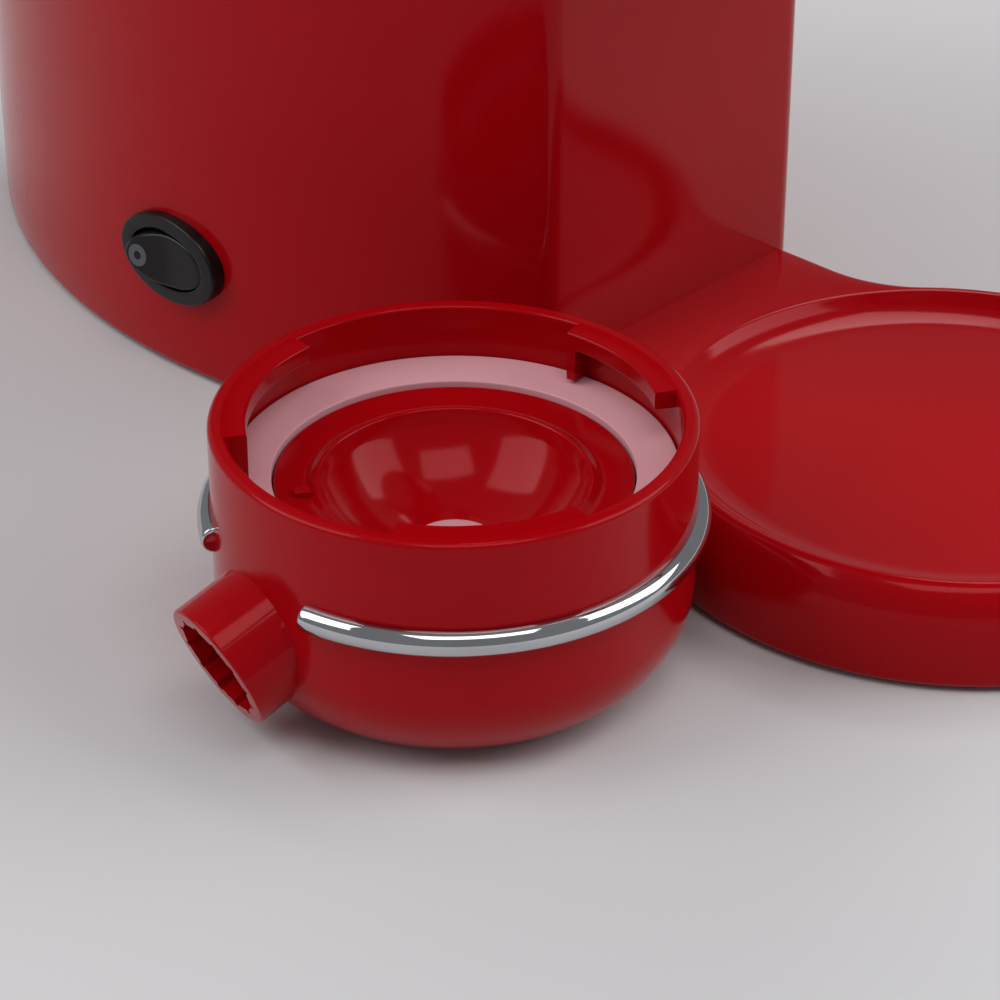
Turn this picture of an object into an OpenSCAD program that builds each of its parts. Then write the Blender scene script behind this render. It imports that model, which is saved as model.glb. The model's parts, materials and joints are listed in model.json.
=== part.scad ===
// Compact espresso machine with its bayonet filter holder standing beside it.
// Millimetres, +Z up, front towards -Y. The origin lies on the counter, under
// the middle of the round cup stand, on the axis of the brew head.

/* [Body] */
// Width of the body at its waist
body_w = 110.6; // [106:0.2:116]
// Plan radius of the two flanks
flank_r = 125; // [118:1:135]
// Plan radius of the round back
back_r = 38; // [34:1:42]
// Distance from the flat front to the waist
front_to_waist = 73.4; // [70:0.2:77]
// Rounding of the two upright front edges
front_edge_r = 5; // [4:0.5:7]
// Wall of the plastic shells
wall = 2.5; // [2:0.1:3]
// Height of the lower edges above the counter
ground_gap = 0.8; // [0.5:0.1:2]
// Height of the top edge of the body shell
shell_top = 226; // [220:1:240]
// Height of the cover and the lid together with their rounded edge
cover_h = 20; // [18:1:24]
// Rounding of the top edge of the cover and the lid
crown_r = 7; // [5:0.5:9]
// Thickness of the base plate
base_t = 2.5; // [2:0.1:3.5]

/* [Cup stand] */
// Radius of the round cup stand
stand_r = 52.5; // [51:0.5:54]
// Height of the cup stand above the counter
stand_h = 18; // [16:0.5:20]
// Distance from the middle of the stand to the flat front of the body
stand_reach = 61.5; // [60:0.5:66]
// How far each side of the head's neck lies inside the corner of the flat front
neck_inset = 4.4; // [3:0.2:6]
// How far each side of the stand's neck lies inside the corner of the flat front
stand_neck_inset = 0.8; // [0.6:0.2:6]
// Rounding of the top outer edge of the stand
stand_edge_r = 4.5; // [2.5:0.5:5]
// Rounding of the bottom outer edge of the stand
stand_foot_r = 1.5; // [1:0.5:3]
// Radius of the flat floor of the dish in the stand
dish_floor_r = 39.5; // [38:0.5:41]
// Depth of the dish in the stand
dish_depth = 3.5; // [2:0.25:4]
// Radius of the cove between the dish floor and its rim
dish_cove_r = 11; // [9:0.5:12]
// Thickness of the top of the stand under the dish
stand_top_t = 3; // [2:0.5:4]
// Radius of the rubber pad under the stand
pad_r = 34; // [28:1:38]

/* [Brew head] */
// Height of the underside of the head above the counter
head_z = 150; // [140:1:160]
// Radius of the round head
head_r = 46; // [45.5:0.5:48]
// Radius of the opening in the underside of the head
head_mouth_r = 41; // [40.5:0.25:42]
// How far the rim of a locked holder enters the head
rim_entry = 3; // [2:0.5:4]
// Running gap between the bayonet boss and the ledges of the holder
boss_gap = 0.6; // [0.4:0.1:0.8]
// Radius of the boiler
boiler_r = 33; // [30:0.5:34]
// Height of the boiler body
boiler_h = 32; // [28:1:36]
// Radius of the shower plate
shower_r = 24; // [22:0.5:26]

/* [Filter holder] */
// Outer radius of the holder
holder_r = 37.5; // [36:0.5:38]
// Height of the holder
holder_h = 42.9; // [41:0.1:46]
// Inner radius under the rim
rim_inner_r = 34.9; // [34:0.1:35.2]
// Rounding of the bottom edge of the holder
holder_foot_r = 15.5; // [13:0.5:17]
// Height of the step that carries the filter dish
step_z = 29; // [28.8:0.1:29.6]
// Inner radius of the chamber below the step
chamber_r = 30; // [28:0.5:31]
// Thickness of the chamber floor
chamber_floor = 3; // [2.5:0.25:4]
// Inner radius of the bayonet ledges
ledge_inner_r = 31.6; // [31.2:0.1:32]
// Thickness of the bayonet ledges
ledge_t = 3; // [2.5:0.1:3.2]
// Thickness of the white gasket
gasket_t = 2.4; // [2:0.1:2.6]
// Inner radius of the gasket
gasket_inner_r = 28.05; // [27.6:0.05:28.5]
// Radius of the edge of the concave bowl in the filter dish
bowl_r = 21.2; // [19:0.2:22.5]
// Depth of the concave bowl
bowl_depth = 13; // [10:0.5:14]
// Wall of the filter dish
dish_wall = 1.2; // [1:0.1:1.3]
// Wire radius of the chrome ring
ring_wire_r = 2.2; // [1.8:0.1:2.4]
// Height of the chrome ring above the foot of the holder
ring_z = 26.4; // [24:0.1:26.6]
// Radius of the handle stub
stub_r = 10.6; // [10:0.1:11.5]
// Length of the stub from the axis of the holder
stub_reach = 46.8; // [46:0.2:54]
// Downward tilt of the stub
stub_tilt = 21.4; // [15:0.2:25]
// Height at which the axis of the stub meets the axis of the holder
stub_axis_z = 30.8; // [30:0.2:35]
// Radius of the socket for the handle
socket_r = 8; // [7:0.1:8.4]
// Depth of the socket for the handle
socket_depth = 10.5; // [9:0.5:12]
// Place of the holder on the counter, to the left of the stand
holder_x = -85.5; // [-90:0.5:-85]
// Place of the holder on the counter, behind the middle of the stand
holder_y = 31.9; // [30:0.1:34]
// Direction of the stub around the upright axis of the holder
stub_turn = 169.1; // [165:0.1:180]

/* [Power switch] */
// Half length of the bezel of the rocker switch
bezel_a = 12.2; // [11.6:0.1:13]
// Half height of the bezel of the rocker switch
bezel_b = 8.3; // [8:0.1:9]
// Half length of the window for the rocker
window_a = 9; // [8.6:0.1:9.3]
// Half height of the window for the rocker
window_b = 5.4; // [5:0.1:5.6]
// Distance from the flat front to the switch
switch_back = 69.4; // [60:0.2:76]
// Height of the switch above the counter
switch_z = 23.3; // [20:0.1:30]
// Tilt of the rocker to either side of its middle
rocker_tilt = 10; // [8:1:11]

/* [Tank] */
// Height of the shelf that carries the tank
shelf_z = 96; // [92:1:104]
// Distance from the flat front to the bulkhead in front of the tank
bulkhead_back = 92; // [88:1:96]
// Wall of the tank
tank_wall = 2.2; // [1.8:0.1:2.6]
// Gap between the tank and the parts around it
tank_gap = 0.6; // [0.4:0.1:1]
// Thickness of the lid over the tank
lid_t = 8; // [7:0.5:9]
// Distance from the bulkhead to the valve of the tank
valve_back = 38; // [34:1:44]

/* [Pump] */
// Height of the pump axis above the counter
pump_z = 46; // [42:1:54]
// Radius of the plastic tube of the pump
pump_tube_r = 8; // [7:0.25:9]
// Length of the plastic tube of the pump
pump_len = 74; // [70:1:78]
// Length of the coil
coil_len = 36; // [32:1:40]
// Width and height of the coil
coil_w = 35; // [32:0.5:38]
// Straight run of the suction hose between pump and bend
suction_run = 7.5; // [7:0.5:12]
// Inner radius of the hoses
hose_bore_r = 2.5; // [2:0.1:3]
// Wall of the hoses
hose_wall = 1.5; // [1:0.1:1.8]
// Bend radius of the hoses
hose_bend_r = 11; // [10:0.5:13]

/* [Brew button] */
// Radius of the brew button
button_r = 10.8; // [9:0.2:12]
// Travel of the brew button
button_travel = 2.5; // [1.5:0.1:3]

/* [Hidden] */
$fn = 96;
slip = 0.2;          // gap between pieces that slide into each other
touch = 0.3;         // gap between a moving piece and its seat
pin_gap = 0.05;      // running gap of a pin in its hole
over = 1;            // how far a cut runs past a face

// Plan of the body: two flank arcs, a back arc and a cut flat front
front_y = stand_reach;
waist_y = front_y + front_to_waist;
flank_c = flank_r - body_w / 2;
back_e = sqrt(pow(flank_r - back_r, 2) - pow(flank_c, 2));
back_cy = waist_y + back_e;
back_y = back_cy + back_r;
edge_cy = front_y + front_edge_r;
edge_cx = sqrt(pow(flank_r - front_edge_r, 2) - pow(waist_y - edge_cy, 2)) - flank_c;
neck_half = edge_cx + front_edge_r - neck_inset;
stand_neck_half = edge_cx + front_edge_r - stand_neck_inset;
bulkhead_y = front_y + bulkhead_back;
bulkhead_t = 3;
shelf_t = 3;
top_z = shell_top + cover_h;
base_top = ground_gap + base_t;
lip_h = 4;

// Filter holder, stand and head
ledges = [[-34, 43.6], [90.1, 54.5], [209.6, 48]];
stop_turn = 2.4;
ring_start = 186.2;
ring_sweep = 322.4;
dish_top = step_z + dish_wall;
gasket_z = dish_top + gasket_t;
annulus_z = gasket_z - 0.7;
ring_leg_r = 1.5;
ring_leg = 4;
bowl_sphere_r = (pow(bowl_r, 2) + pow(bowl_depth, 2)) / (2 * bowl_depth);
holder_up = head_z + rim_entry - holder_h;
boss_face_z = holder_up + gasket_z;
boss_r = ledge_inner_r - boss_gap;
flange_z = head_z + rim_entry + 4;
throat_r = 36;
flange_t = 3;
flange_r = head_r - wall - slip;
lug_z = holder_up + holder_h - ledge_t - slip;
lug_t = 3;
lug_sweep = 34;
lock_turn = 270 - stub_turn;
boiler_z = flange_z + flange_t;
boiler_top = boiler_z + boiler_h;
boiler_lid_t = 8;
inlet_y = 16;

// Tank and lid
tank_y = bulkhead_y + tank_gap;
tank_z = shelf_z + touch;
tank_floor = 3;
hinge_r = lid_t / 2;
hinge_y = tank_y + hinge_r;
hinge_z = top_z - hinge_r;
tank_top = top_z - lid_t - touch;
hinge_half = 26;
ear_w = 4;
pin_r = 1.5;
valve_y = bulkhead_y + valve_back;
valve_r = 7;
port_r = valve_r + 3.6;
port_depth = 12;

// Pump and hoses
pump_back_y = valve_y - hose_bend_r - suction_run;
pump_front_y = pump_back_y - pump_len;
pump_y = pump_back_y - pump_len / 2;
collar_len = 9;
collar_r = pump_tube_r + 4;
frame_t = 2;
spigot_r = hose_bore_r;
spigot_len = 9;
hose_r = hose_bore_r + hose_wall;
riser_y = pump_front_y - spigot_len - hose_bend_r - 1;
bridge_z = boiler_top + boiler_lid_t + 10 + hose_bend_r;

// Switch, gland and button
switch_y = front_y + switch_back;
seat_depth = 1.1;
flange_out = 2;
barrel_a = window_a + 0.9;
barrel_b = window_b + 1.1;
barrel_in = 15;
pivot_z = -1.2;
rocker_a = window_a - 0.7;
rocker_b = window_b - 0.6;
gland_z = 20;
gland_bore_r = 3.6;
gland_r = 6;
gland_rim = 2.5;
gland_seat = 1;
bezel_t = 1.2;
bezel_w = 3.2;
sleeve_h = 7;
roof_t = 5;

// Screws, posts and small passages
screw_r = 1.5;
screw_head_r = 2.8;
screw_head_h = 1.8;
boss_post_r = 4;
base_post_x = edge_cx - 3;
base_post_h = 14;
stand_screw_x = base_post_x - boss_post_r - screw_head_r - 1.4;
stand_screw_len = 9;
head_screw_len = 10;
head_screw_edge = 14;
cover_post_foot = 24;
cover_post_h = 18;
cover_hanger_h = 6;
cover_screw_len = 28;
boiler_screw_bite = 10;
inlet_boss_r = 6;
inlet_boss_h = 3;
inlet_spigot_h = 6;
passage_half = 18;
passage_foot = 10;
foot_r = 7;
foot_hole_r = 3;
vent_w = 24;
vent_gap = 3;
vent_pitch = 8;
rib_x = 26;
rib_h = 6;

// Leads and their terminal block
lead_r = 1;
bead_r = 1.2;
block_x = 26;
block_y = back_cy - 14;
block_w = 16;
block_len = 24;
block_h = 11;
block_hole_z = 5;

// An oval of four arcs: half sizes a along Y and b along X, end radius e_r
module oval(a, b, e_r) {
    e = a - e_r;
    side = (pow(b, 2) + pow(e, 2) - pow(e_r, 2)) / (2 * (b - e_r));
    cut = e + e_r * e / (side - e_r);
    intersection() {
        translate([side - b, 0]) circle(side);
        translate([b - side, 0]) circle(side);
        square([4 * b, 2 * cut], center = true);
    }
    for (s = [-1, 1]) translate([0, s * e]) circle(e_r);
}

// The plan of the body, drawn in by inset
module body_plan(inset = 0) {
    cut = back_cy + (back_r - inset) * back_e / (flank_r - back_r);
    lean = [edge_cx + flank_c, edge_cy - waist_y] / (flank_r - front_edge_r);
    difference() {
        intersection() {
            translate([-flank_c, waist_y]) circle(flank_r - inset);
            translate([flank_c, waist_y]) circle(flank_r - inset);
            translate([-body_w, front_y + inset]) square([2 * body_w, cut - front_y - inset]);
        }
        for (s = [-1, 1]) polygon([[s * edge_cx, edge_cy], [s * edge_cx, edge_cy - 30],
            [s * (edge_cx + 30 * lean[0]), edge_cy + 30 * lean[1]]]);
    }
    if (inset < front_edge_r)
        for (s = [-1, 1]) translate([s * edge_cx, edge_cy]) circle(front_edge_r - inset);
    translate([0, back_cy]) circle(back_r - inset);
}

// The plan of the head and its neck, drawn in by inset
module head_plan(inset = 0) {
    circle(head_r - inset);
    translate([inset - neck_half, 0]) square([2 * (neck_half - inset), front_y + over]);
}

// A screw with its head above z = 0 and its shank below
module screw(length, r = screw_r, head_r = screw_head_r, head_h = screw_head_h) {
    difference() {
        cylinder(r = head_r, h = head_h);
        translate([0, 0, head_h - 0.8]) cylinder(r = head_r / 2, h = 2, $fn = 6);
    }
    translate([0, 0, -length]) cylinder(r = r, h = length);
}

// A straight hose piece along +Z
module hose(length) {
    difference() {
        cylinder(r = hose_r, h = length);
        translate([0, 0, -over]) cylinder(r = hose_bore_r, h = length + 2 * over);
    }
}

// A quarter bend of hose: it starts along +Z at the origin and ends along +Y
module hose_bend() {
    translate([0, hose_bend_r, 0]) rotate([0, 90, 0]) rotate([0, 0, 180])
        rotate_extrude(angle = 90) translate([hose_bend_r, 0]) difference() {
            circle(hose_r);
            circle(hose_bore_r);
        }
}

module base_screw_places() {
    back = back_r - wall - boss_post_r + 1;
    for (s = [-1, 1]) {
        translate([s * base_post_x, front_y + wall + boss_post_r - 1, 0]) children();
        translate([s * back * cos(45), back_cy + back * sin(45), 0]) children();
    }
}

module sole_screw_places() {
    for (a = [30, 150, 270]) rotate(a) translate([stand_r - 9, 0, 0]) children();
}

module stand_screw_places() {
    for (s = [-1, 1]) translate([s * stand_screw_x, front_y, ground_gap + stand_h * 0.5])
        children();
}

module head_screw_places() {
    for (s = [-1, 1], z = [head_z + head_screw_edge, shell_top - head_screw_edge])
        translate([s * (neck_half - wall - boss_post_r + 0.5), front_y, z]) children();
}

module boss_screw_places() {
    for (a = [30, 150, 210, 330]) rotate(a) translate([(throat_r + flange_r) / 2, 0, 0]) children();
}

module boiler_screw_places() {
    for (a = [45:90:315]) rotate(a) translate([boiler_r - 4, 0, 0]) children();
}

module cover_screw_places() {
    for (s = [-1, 1]) translate([s * (body_w / 2 - wall - 5), waist_y, 0]) children();
}

// Turns a piece drawn with +Z outwards onto the switch's place in the flank
module on_switch() {
    translate([-body_w / 2, switch_y, switch_z]) rotate([0, -90, 0]) children();
}

module at_holder() {
    translate([holder_x, holder_y, 0]) children();
}

// Axis of the stub, drawn along +Z from the holder's axis
module along_stub() {
    translate([0, 0, stub_axis_z]) rotate([0, 90 + stub_tilt, stub_turn]) children();
}

module body_shell() {
    color("crimson") difference() {
        union() {
            translate([0, 0, ground_gap]) linear_extrude(shell_top - ground_gap) difference() {
                body_plan();
                body_plan(wall);
            }
            // ledge that carries the tank shelf
            translate([0, 0, shelf_z - shelf_t - 3]) linear_extrude(3) difference() {
                intersection() {
                    body_plan(wall / 2);
                    translate([-body_w, bulkhead_y - bulkhead_t]) square([2 * body_w, body_w]);
                }
                body_plan(wall + 2.5);
            }
            base_screw_places() translate([0, 0, base_top]) cylinder(r = boss_post_r, h = base_post_h);
            cover_screw_places() translate([0, 0, shell_top - cover_post_foot])
                cylinder(r = boss_post_r, h = cover_post_h);
            for (s = [-1, 1]) translate([s * (body_w / 2 - wall / 2 - 2), waist_y, shell_top - 15])
                cube([6, 5, 18], center = true);
        }
        // the back stays open above the shelf
        translate([-body_w, bulkhead_y, shelf_z]) cube([2 * body_w, body_w, shell_top]);
        // passage into the head
        translate([-passage_half, front_y - over, head_z + passage_foot])
            cube([2 * passage_half, wall + 2 * over, shell_top - head_z]);
        head_screw_places() rotate([90, 0, 0])
            cylinder(r = screw_r + slip, h = 3 * wall, center = true);
        base_screw_places() translate([0, 0, base_top - over])
            cylinder(r = screw_r, h = base_post_h - 2);
        cover_screw_places() translate([0, 0, shell_top - cover_post_foot - over])
            cylinder(r = screw_r, h = cover_post_foot + 2 * over);
        stand_screw_places() rotate([90, 0, 0])
            cylinder(r = screw_r + slip, h = 3 * wall, center = true);
        // flat seat and opening of the switch
        on_switch() {
            translate([0, 0, -seat_depth]) linear_extrude(3) oval(bezel_a + slip, bezel_b + slip, 5.5);
            translate([0, 0, -2 * wall - seat_depth]) linear_extrude(3 * wall)
                oval(barrel_a + slip, barrel_b + slip, 5);
        }
        translate([0, back_y, gland_z]) rotate([-90, 0, 0]) {
            translate([0, 0, -2 * wall]) cylinder(r = gland_r + slip, h = 4 * wall);
            translate([0, 0, -gland_seat]) cylinder(r = gland_r + gland_rim + slip, h = 2 * wall);
        }
    }
}

module base_plate() {
    saddle_w = 2 * collar_r + 2;
    color("dimgray") difference() {
        union() {
            translate([0, 0, ground_gap]) linear_extrude(base_t) body_plan(wall + slip);
            for (y = [pump_front_y + collar_len / 2, pump_back_y - collar_len / 2])
                translate([-saddle_w / 2, y - collar_len / 2 + 1, base_top - over / 2])
                    cube([saddle_w, collar_len - 2, pump_z - base_top + over / 2]);
            for (s = [-1, 1]) translate([s * rib_x - 1, front_y + base_post_h, base_top - over / 2])
                cube([2, front_to_waist, rib_h]);
        }
        translate([0, pump_front_y - over, pump_z]) rotate([-90, 0, 0])
            cylinder(r = collar_r, h = pump_len + 2 * over);
        base_screw_places() translate([0, 0, -over]) cylinder(r = screw_r + slip, h = 3 * base_t);
        base_screw_places() translate([0, 0, ground_gap - over])
            cylinder(r = 3.2, h = over + 1.9 - 0.4);
        rear_feet_places() translate([0, 0, -over])
            cylinder(r = foot_r + slip / 2, h = over + ground_gap + 1);
        // air slots
        for (i = [-4:1]) translate([-vent_w / 2, waist_y + vent_pitch * i, ground_gap - over])
            cube([vent_w, vent_gap, base_t + 2 * over]);
    }
}

module rear_feet_places() {
    for (s = [-1, 1]) translate([s * (body_w / 2 - 18), waist_y + back_e * 0.62, 0]) children();
}

module rear_feet() {
    color("black") rear_feet_places() difference() {
        cylinder(r = foot_r, h = ground_gap + 1);
        translate([0, 0, -over]) cylinder(r = foot_hole_r, h = over + 0.6);
    }
}

module base_screws() {
    color("silver") base_screw_places() translate([0, 0, ground_gap + 1.5]) rotate([180, 0, 0])
        screw(8, head_h = 1.4);
}

// Half section of the stand, turned round its axis
module stand_section() {
    difference() {
        square([stand_r, stand_h]);
        translate([stand_r - stand_edge_r, stand_h - stand_edge_r])
            square(stand_edge_r + over);
        translate([stand_r - stand_foot_r, ground_gap - over])
            square([2 * stand_foot_r, stand_foot_r + over]);
        translate([-over, -over]) square([stand_r + 2 * over, ground_gap + over]);
    }
    translate([stand_r - stand_edge_r, stand_h - stand_edge_r]) circle(stand_edge_r);
    translate([stand_r - stand_foot_r, ground_gap + stand_foot_r]) circle(stand_foot_r);
}

module dish_section() {
    translate([0, stand_h - dish_depth]) square([dish_floor_r, dish_depth + over]);
    intersection() {
        translate([dish_floor_r, stand_h - dish_depth + dish_cove_r]) circle(dish_cove_r);
        translate([0, stand_h - dish_depth]) square([stand_r, dish_depth + over]);
    }
}

// Upright section of the neck, along the stand's front-to-back line
module neck_section(inset = 0) {
    h = stand_h - ground_gap;
    half = stand_neck_half;
    translate([inset - half, ground_gap]) square([2 * (half - inset), h - stand_edge_r]);
    translate([stand_edge_r - half, ground_gap]) square([2 * (half - stand_edge_r), h - inset]);
    for (s = [-1, 1]) translate([s * (half - stand_edge_r), stand_h - stand_edge_r])
        circle(stand_edge_r - inset);
}

// Room for the flat front and its round corners at the end of the neck
module front_room() {
    translate([-edge_cx, front_y, -over]) cube([2 * edge_cx, front_edge_r + over, stand_h + 2 * over]);
    for (s = [-1, 1]) translate([s * edge_cx, edge_cy, -over])
        cylinder(r = front_edge_r + slip, h = stand_h + 2 * over);
}

module cup_stand() {
    neck_start = dish_floor_r * 0.7;
    roof_z = stand_h - dish_depth - stand_top_t;
    color("crimson") difference() {
        union() {
            rotate_extrude() stand_section();
            translate([0, edge_cy, 0]) rotate([90, 0, 0])
                linear_extrude(edge_cy - neck_start) neck_section();
        }
        rotate_extrude() dish_section();
        front_room();
        difference() {
            union() {
                translate([0, 0, ground_gap - over])
                    cylinder(r = stand_r - wall - 1, h = roof_z - ground_gap + over);
                translate([wall - stand_neck_half, 0, ground_gap - over])
                    cube([2 * (stand_neck_half - wall), front_y - wall, roof_z - ground_gap + over]);
            }
            sole_screw_places() translate([0, 0, ground_gap + 2]) cylinder(r = boss_post_r, h = stand_h);
            stand_screw_places() rotate([90, 0, 0]) translate([0, 0, -over])
                cylinder(r = boss_post_r, h = 10);
        }
        sole_screw_places() translate([0, 0, ground_gap]) cylinder(r = screw_r, h = 7.5);
        stand_screw_places() rotate([90, 0, 0]) translate([0, 0, -over]) cylinder(r = screw_r, h = 9);
    }
}

module stand_sole() {
    color("dimgray") difference() {
        translate([0, 0, ground_gap]) linear_extrude(2) {
            circle(stand_r - wall - 1 - slip);
            translate([wall + slip - stand_neck_half, 0])
                square([2 * (stand_neck_half - wall - slip), front_y - wall - slip]);
        }
        translate([0, 0, -over]) cylinder(r = pad_r + slip / 2, h = over + ground_gap + 1);
        sole_screw_places() translate([0, 0, -over]) cylinder(r = screw_r + slip, h = 6);
        sole_screw_places() translate([0, 0, -over]) cylinder(r = 3.2, h = over + ground_gap + 1.2);
    }
}

module stand_pad() {
    color("black") cylinder(r = pad_r, h = ground_gap + 1);
}

module sole_screws() {
    color("silver") sole_screw_places() translate([0, 0, ground_gap + 1.2]) rotate([180, 0, 0])
        screw(6, head_h = 1);
}

module stand_screws() {
    color("silver") stand_screw_places() translate([0, wall, 0]) rotate([-90, 0, 0]) screw(stand_screw_len);
}

module tank_bay() {
    inset = wall + slip;
    color("firebrick") difference() {
        union() {
            translate([0, 0, shelf_z - shelf_t]) linear_extrude(shelf_t) intersection() {
                body_plan(inset);
                translate([-body_w, bulkhead_y - bulkhead_t]) square([2 * body_w, body_w]);
            }
            translate([0, 0, shelf_z - shelf_t]) linear_extrude(shell_top + lip_h - shelf_z + shelf_t)
                intersection() {
                    body_plan(inset);
                    translate([-body_w, bulkhead_y - bulkhead_t]) square([2 * body_w, bulkhead_t]);
                }
        }
        translate([0, valve_y, shelf_z - 2 * shelf_t]) cylinder(r = port_r + slip / 2, h = 3 * shelf_t);
    }
}

module tank_port() {
    color("dimgray") translate([0, valve_y, 0]) difference() {
        union() {
            translate([0, 0, shelf_z - port_depth]) cylinder(r = port_r, h = port_depth);
            translate([0, 0, shelf_z - shelf_t - 2]) cylinder(r = port_r + 3, h = 2);
            translate([0, 0, shelf_z - port_depth - spigot_len])
                cylinder(r = spigot_r, h = spigot_len + over);
        }
        translate([0, 0, shelf_z - port_depth + 2]) cylinder(r = valve_r + touch, h = port_depth);
        translate([0, 0, shelf_z - 7]) cylinder(r = port_r - 1.4, h = 2.4);
        translate([0, 0, shelf_z - port_depth - spigot_len - over])
            cylinder(r = spigot_r - 1, h = spigot_len + 2 * over + 2);
    }
}

module port_seal() {
    ring_r = 1.1;
    color("black") translate([0, valve_y, shelf_z - 5.8]) rotate_extrude()
        translate([port_r - 1.4 - ring_r, 0]) circle(ring_r);
}

module head_shell() {
    color("crimson") difference() {
        translate([0, 0, head_z]) linear_extrude(shell_top - head_z) head_plan();
        difference() {
            translate([0, 0, head_z + wall]) linear_extrude(shell_top) head_plan(wall);
            // ring that carries the bayonet boss
            translate([0, 0, head_z]) cylinder(r = head_r - wall / 2, h = flange_z - head_z);
            head_screw_places() rotate([90, 0, 0]) cylinder(r = boss_post_r, h = 10);
        }
        translate([0, 0, head_z - over]) cylinder(r = head_mouth_r, h = rim_entry + over + 0.5);
        translate([0, 0, head_z - over]) cylinder(r = throat_r, h = flange_z - head_z + 2 * over);
        boss_screw_places() translate([0, 0, flange_z - 3]) cylinder(r = screw_r, h = 3 + over);
        head_screw_places() rotate([90, 0, 0]) translate([0, 0, -over]) cylinder(r = screw_r, h = 9);
        translate([-body_w, front_y, 0]) cube([2 * body_w, body_w, top_z]);
    }
}

module head_screws() {
    color("silver") head_screw_places() translate([0, wall, 0]) rotate([-90, 0, 0]) screw(head_screw_len);
}

module bayonet_boss() {
    color("gray") difference() {
        union() {
            translate([0, 0, boss_face_z]) cylinder(r = boss_r, h = flange_z - boss_face_z + over);
            translate([0, 0, flange_z]) cylinder(r = flange_r, h = flange_t);
            for (l = ledges) rotate(l[0] + lock_turn + (l[1] - lug_sweep) / 2)
                translate([0, 0, lug_z - lug_t]) rotate_extrude(angle = lug_sweep)
                    translate([boss_r - over, 0]) square([rim_inner_r - 0.5 - boss_r + over, lug_t]);
        }
        translate([0, 0, boss_face_z - over]) cylinder(r = shower_r + slip, h = over + 1.6);
        translate([0, 0, boss_face_z]) cylinder(r = shower_r - 3, h = 3);
        cylinder(r = screw_r, h = boss_face_z + 9);
        translate([12, 0, boss_face_z]) cylinder(r = 2, h = 2 * boiler_h);
        boss_screw_places() translate([0, 0, flange_z - over])
            cylinder(r = screw_r + slip, h = flange_t + 2 * over);
    }
}

module boss_screws() {
    color("silver") boss_screw_places() translate([0, 0, flange_z + flange_t]) screw(flange_t + 2.8);
}

module shower_plate() {
    color("silver") difference() {
        translate([0, 0, boss_face_z]) cylinder(r = shower_r, h = 1.6);
        translate([0, 0, boss_face_z - over]) cylinder(r = screw_r + slip, h = 4);
        for (ring = [1:3]) for (i = [0:4 * ring - 1]) rotate(i * 90 / ring)
            translate([ring * shower_r * 0.27, 0, boss_face_z - over]) cylinder(r = 0.9, h = 4);
    }
}

module shower_screw() {
    color("silver") translate([0, 0, boss_face_z]) rotate([180, 0, 0]) screw(8, head_h = 1.4);
}

module boiler_body() {
    color("lightgray") difference() {
        translate([0, 0, boiler_z]) cylinder(r = boiler_r, h = boiler_h);
        translate([0, 0, boiler_z + 6]) cylinder(r = boiler_r - 9, h = boiler_h);
        translate([0, 0, boiler_top - 1.6]) difference() {
            cylinder(r = boiler_r - 1, h = 2);
            translate([0, 0, -over]) cylinder(r = boiler_r - 4 - 3 - 0.9, h = 4);
            boiler_screw_places() translate([0, 0, -over]) cylinder(r = 2.6, h = 4);
        }
        translate([12, 0, boiler_z - over]) cylinder(r = 2, h = 8);
        boiler_screw_places() translate([0, 0, boiler_top - 14]) cylinder(r = screw_r, h = 16);
    }
}

module boiler_seal() {
    color("orangered") translate([0, 0, boiler_top - 1.6]) difference() {
        cylinder(r = boiler_r - 1, h = 1.6);
        translate([0, 0, -over]) cylinder(r = boiler_r - 4 - 3 - 0.9, h = 4);
        boiler_screw_places() translate([0, 0, -over]) cylinder(r = 2.6, h = 4);
    }
}

module boiler_lid() {
    color("lightgray") difference() {
        union() {
            translate([0, 0, boiler_top]) cylinder(r = boiler_r, h = boiler_lid_t);
            translate([0, inlet_y, boiler_top]) cylinder(r = inlet_boss_r, h = boiler_lid_t + inlet_boss_h);
            translate([0, inlet_y, boiler_top])
                cylinder(r = spigot_r, h = boiler_lid_t + inlet_boss_h + inlet_spigot_h);
        }
        translate([0, inlet_y, boiler_top - over]) cylinder(r = spigot_r - 1, h = 2 * boiler_lid_t + 9);
        boiler_screw_places() translate([0, 0, boiler_top - over])
            cylinder(r = screw_r + slip, h = 3 * boiler_lid_t);
    }
}

module boiler_screws() {
    color("silver") boiler_screw_places() translate([0, 0, boiler_top + boiler_lid_t])
        screw(boiler_lid_t + boiler_screw_bite);
}

module band_heater() {
    color("goldenrod") {
        translate([0, 0, boiler_z + 5]) rotate(95) rotate_extrude(angle = 340)
            translate([boiler_r, 0]) square([2.6, boiler_h - 12]);
        for (a = [64, 106]) rotate(a) translate([boiler_r + 1, -3, boiler_z + 12]) cube([6, 6, 1]);
    }
}

module thermostat() {
    color("silver") translate([-14, -4, boiler_top + boiler_lid_t]) {
        cylinder(r = 8, h = 4);
        cylinder(r = 6, h = 9);
        for (s = [-1, 1]) translate([s * 3.2 - 1.5, -0.4, 8]) cube([3, 0.8, 8]);
    }
}

module thermal_fuse() {
    color("tan") translate([15, -6, boiler_top + boiler_lid_t]) {
        translate([-4, -7, 0]) cube([8, 14, 1]);
        translate([0, -10, 3]) rotate([-90, 0, 0]) cylinder(r = 2.1, h = 20);
    }
}

module pump_block(w, h, length) {
    translate([-w / 2, pump_y - length / 2, pump_z - h / 2]) cube([w, length, h]);
}

module pump_coil() {
    color("black") difference() {
        pump_block(coil_w, coil_w, coil_len);
        translate([0, pump_y - pump_len, pump_z]) rotate([-90, 0, 0])
            cylinder(r = pump_tube_r + pin_gap, h = 2 * pump_len);
    }
}

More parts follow.
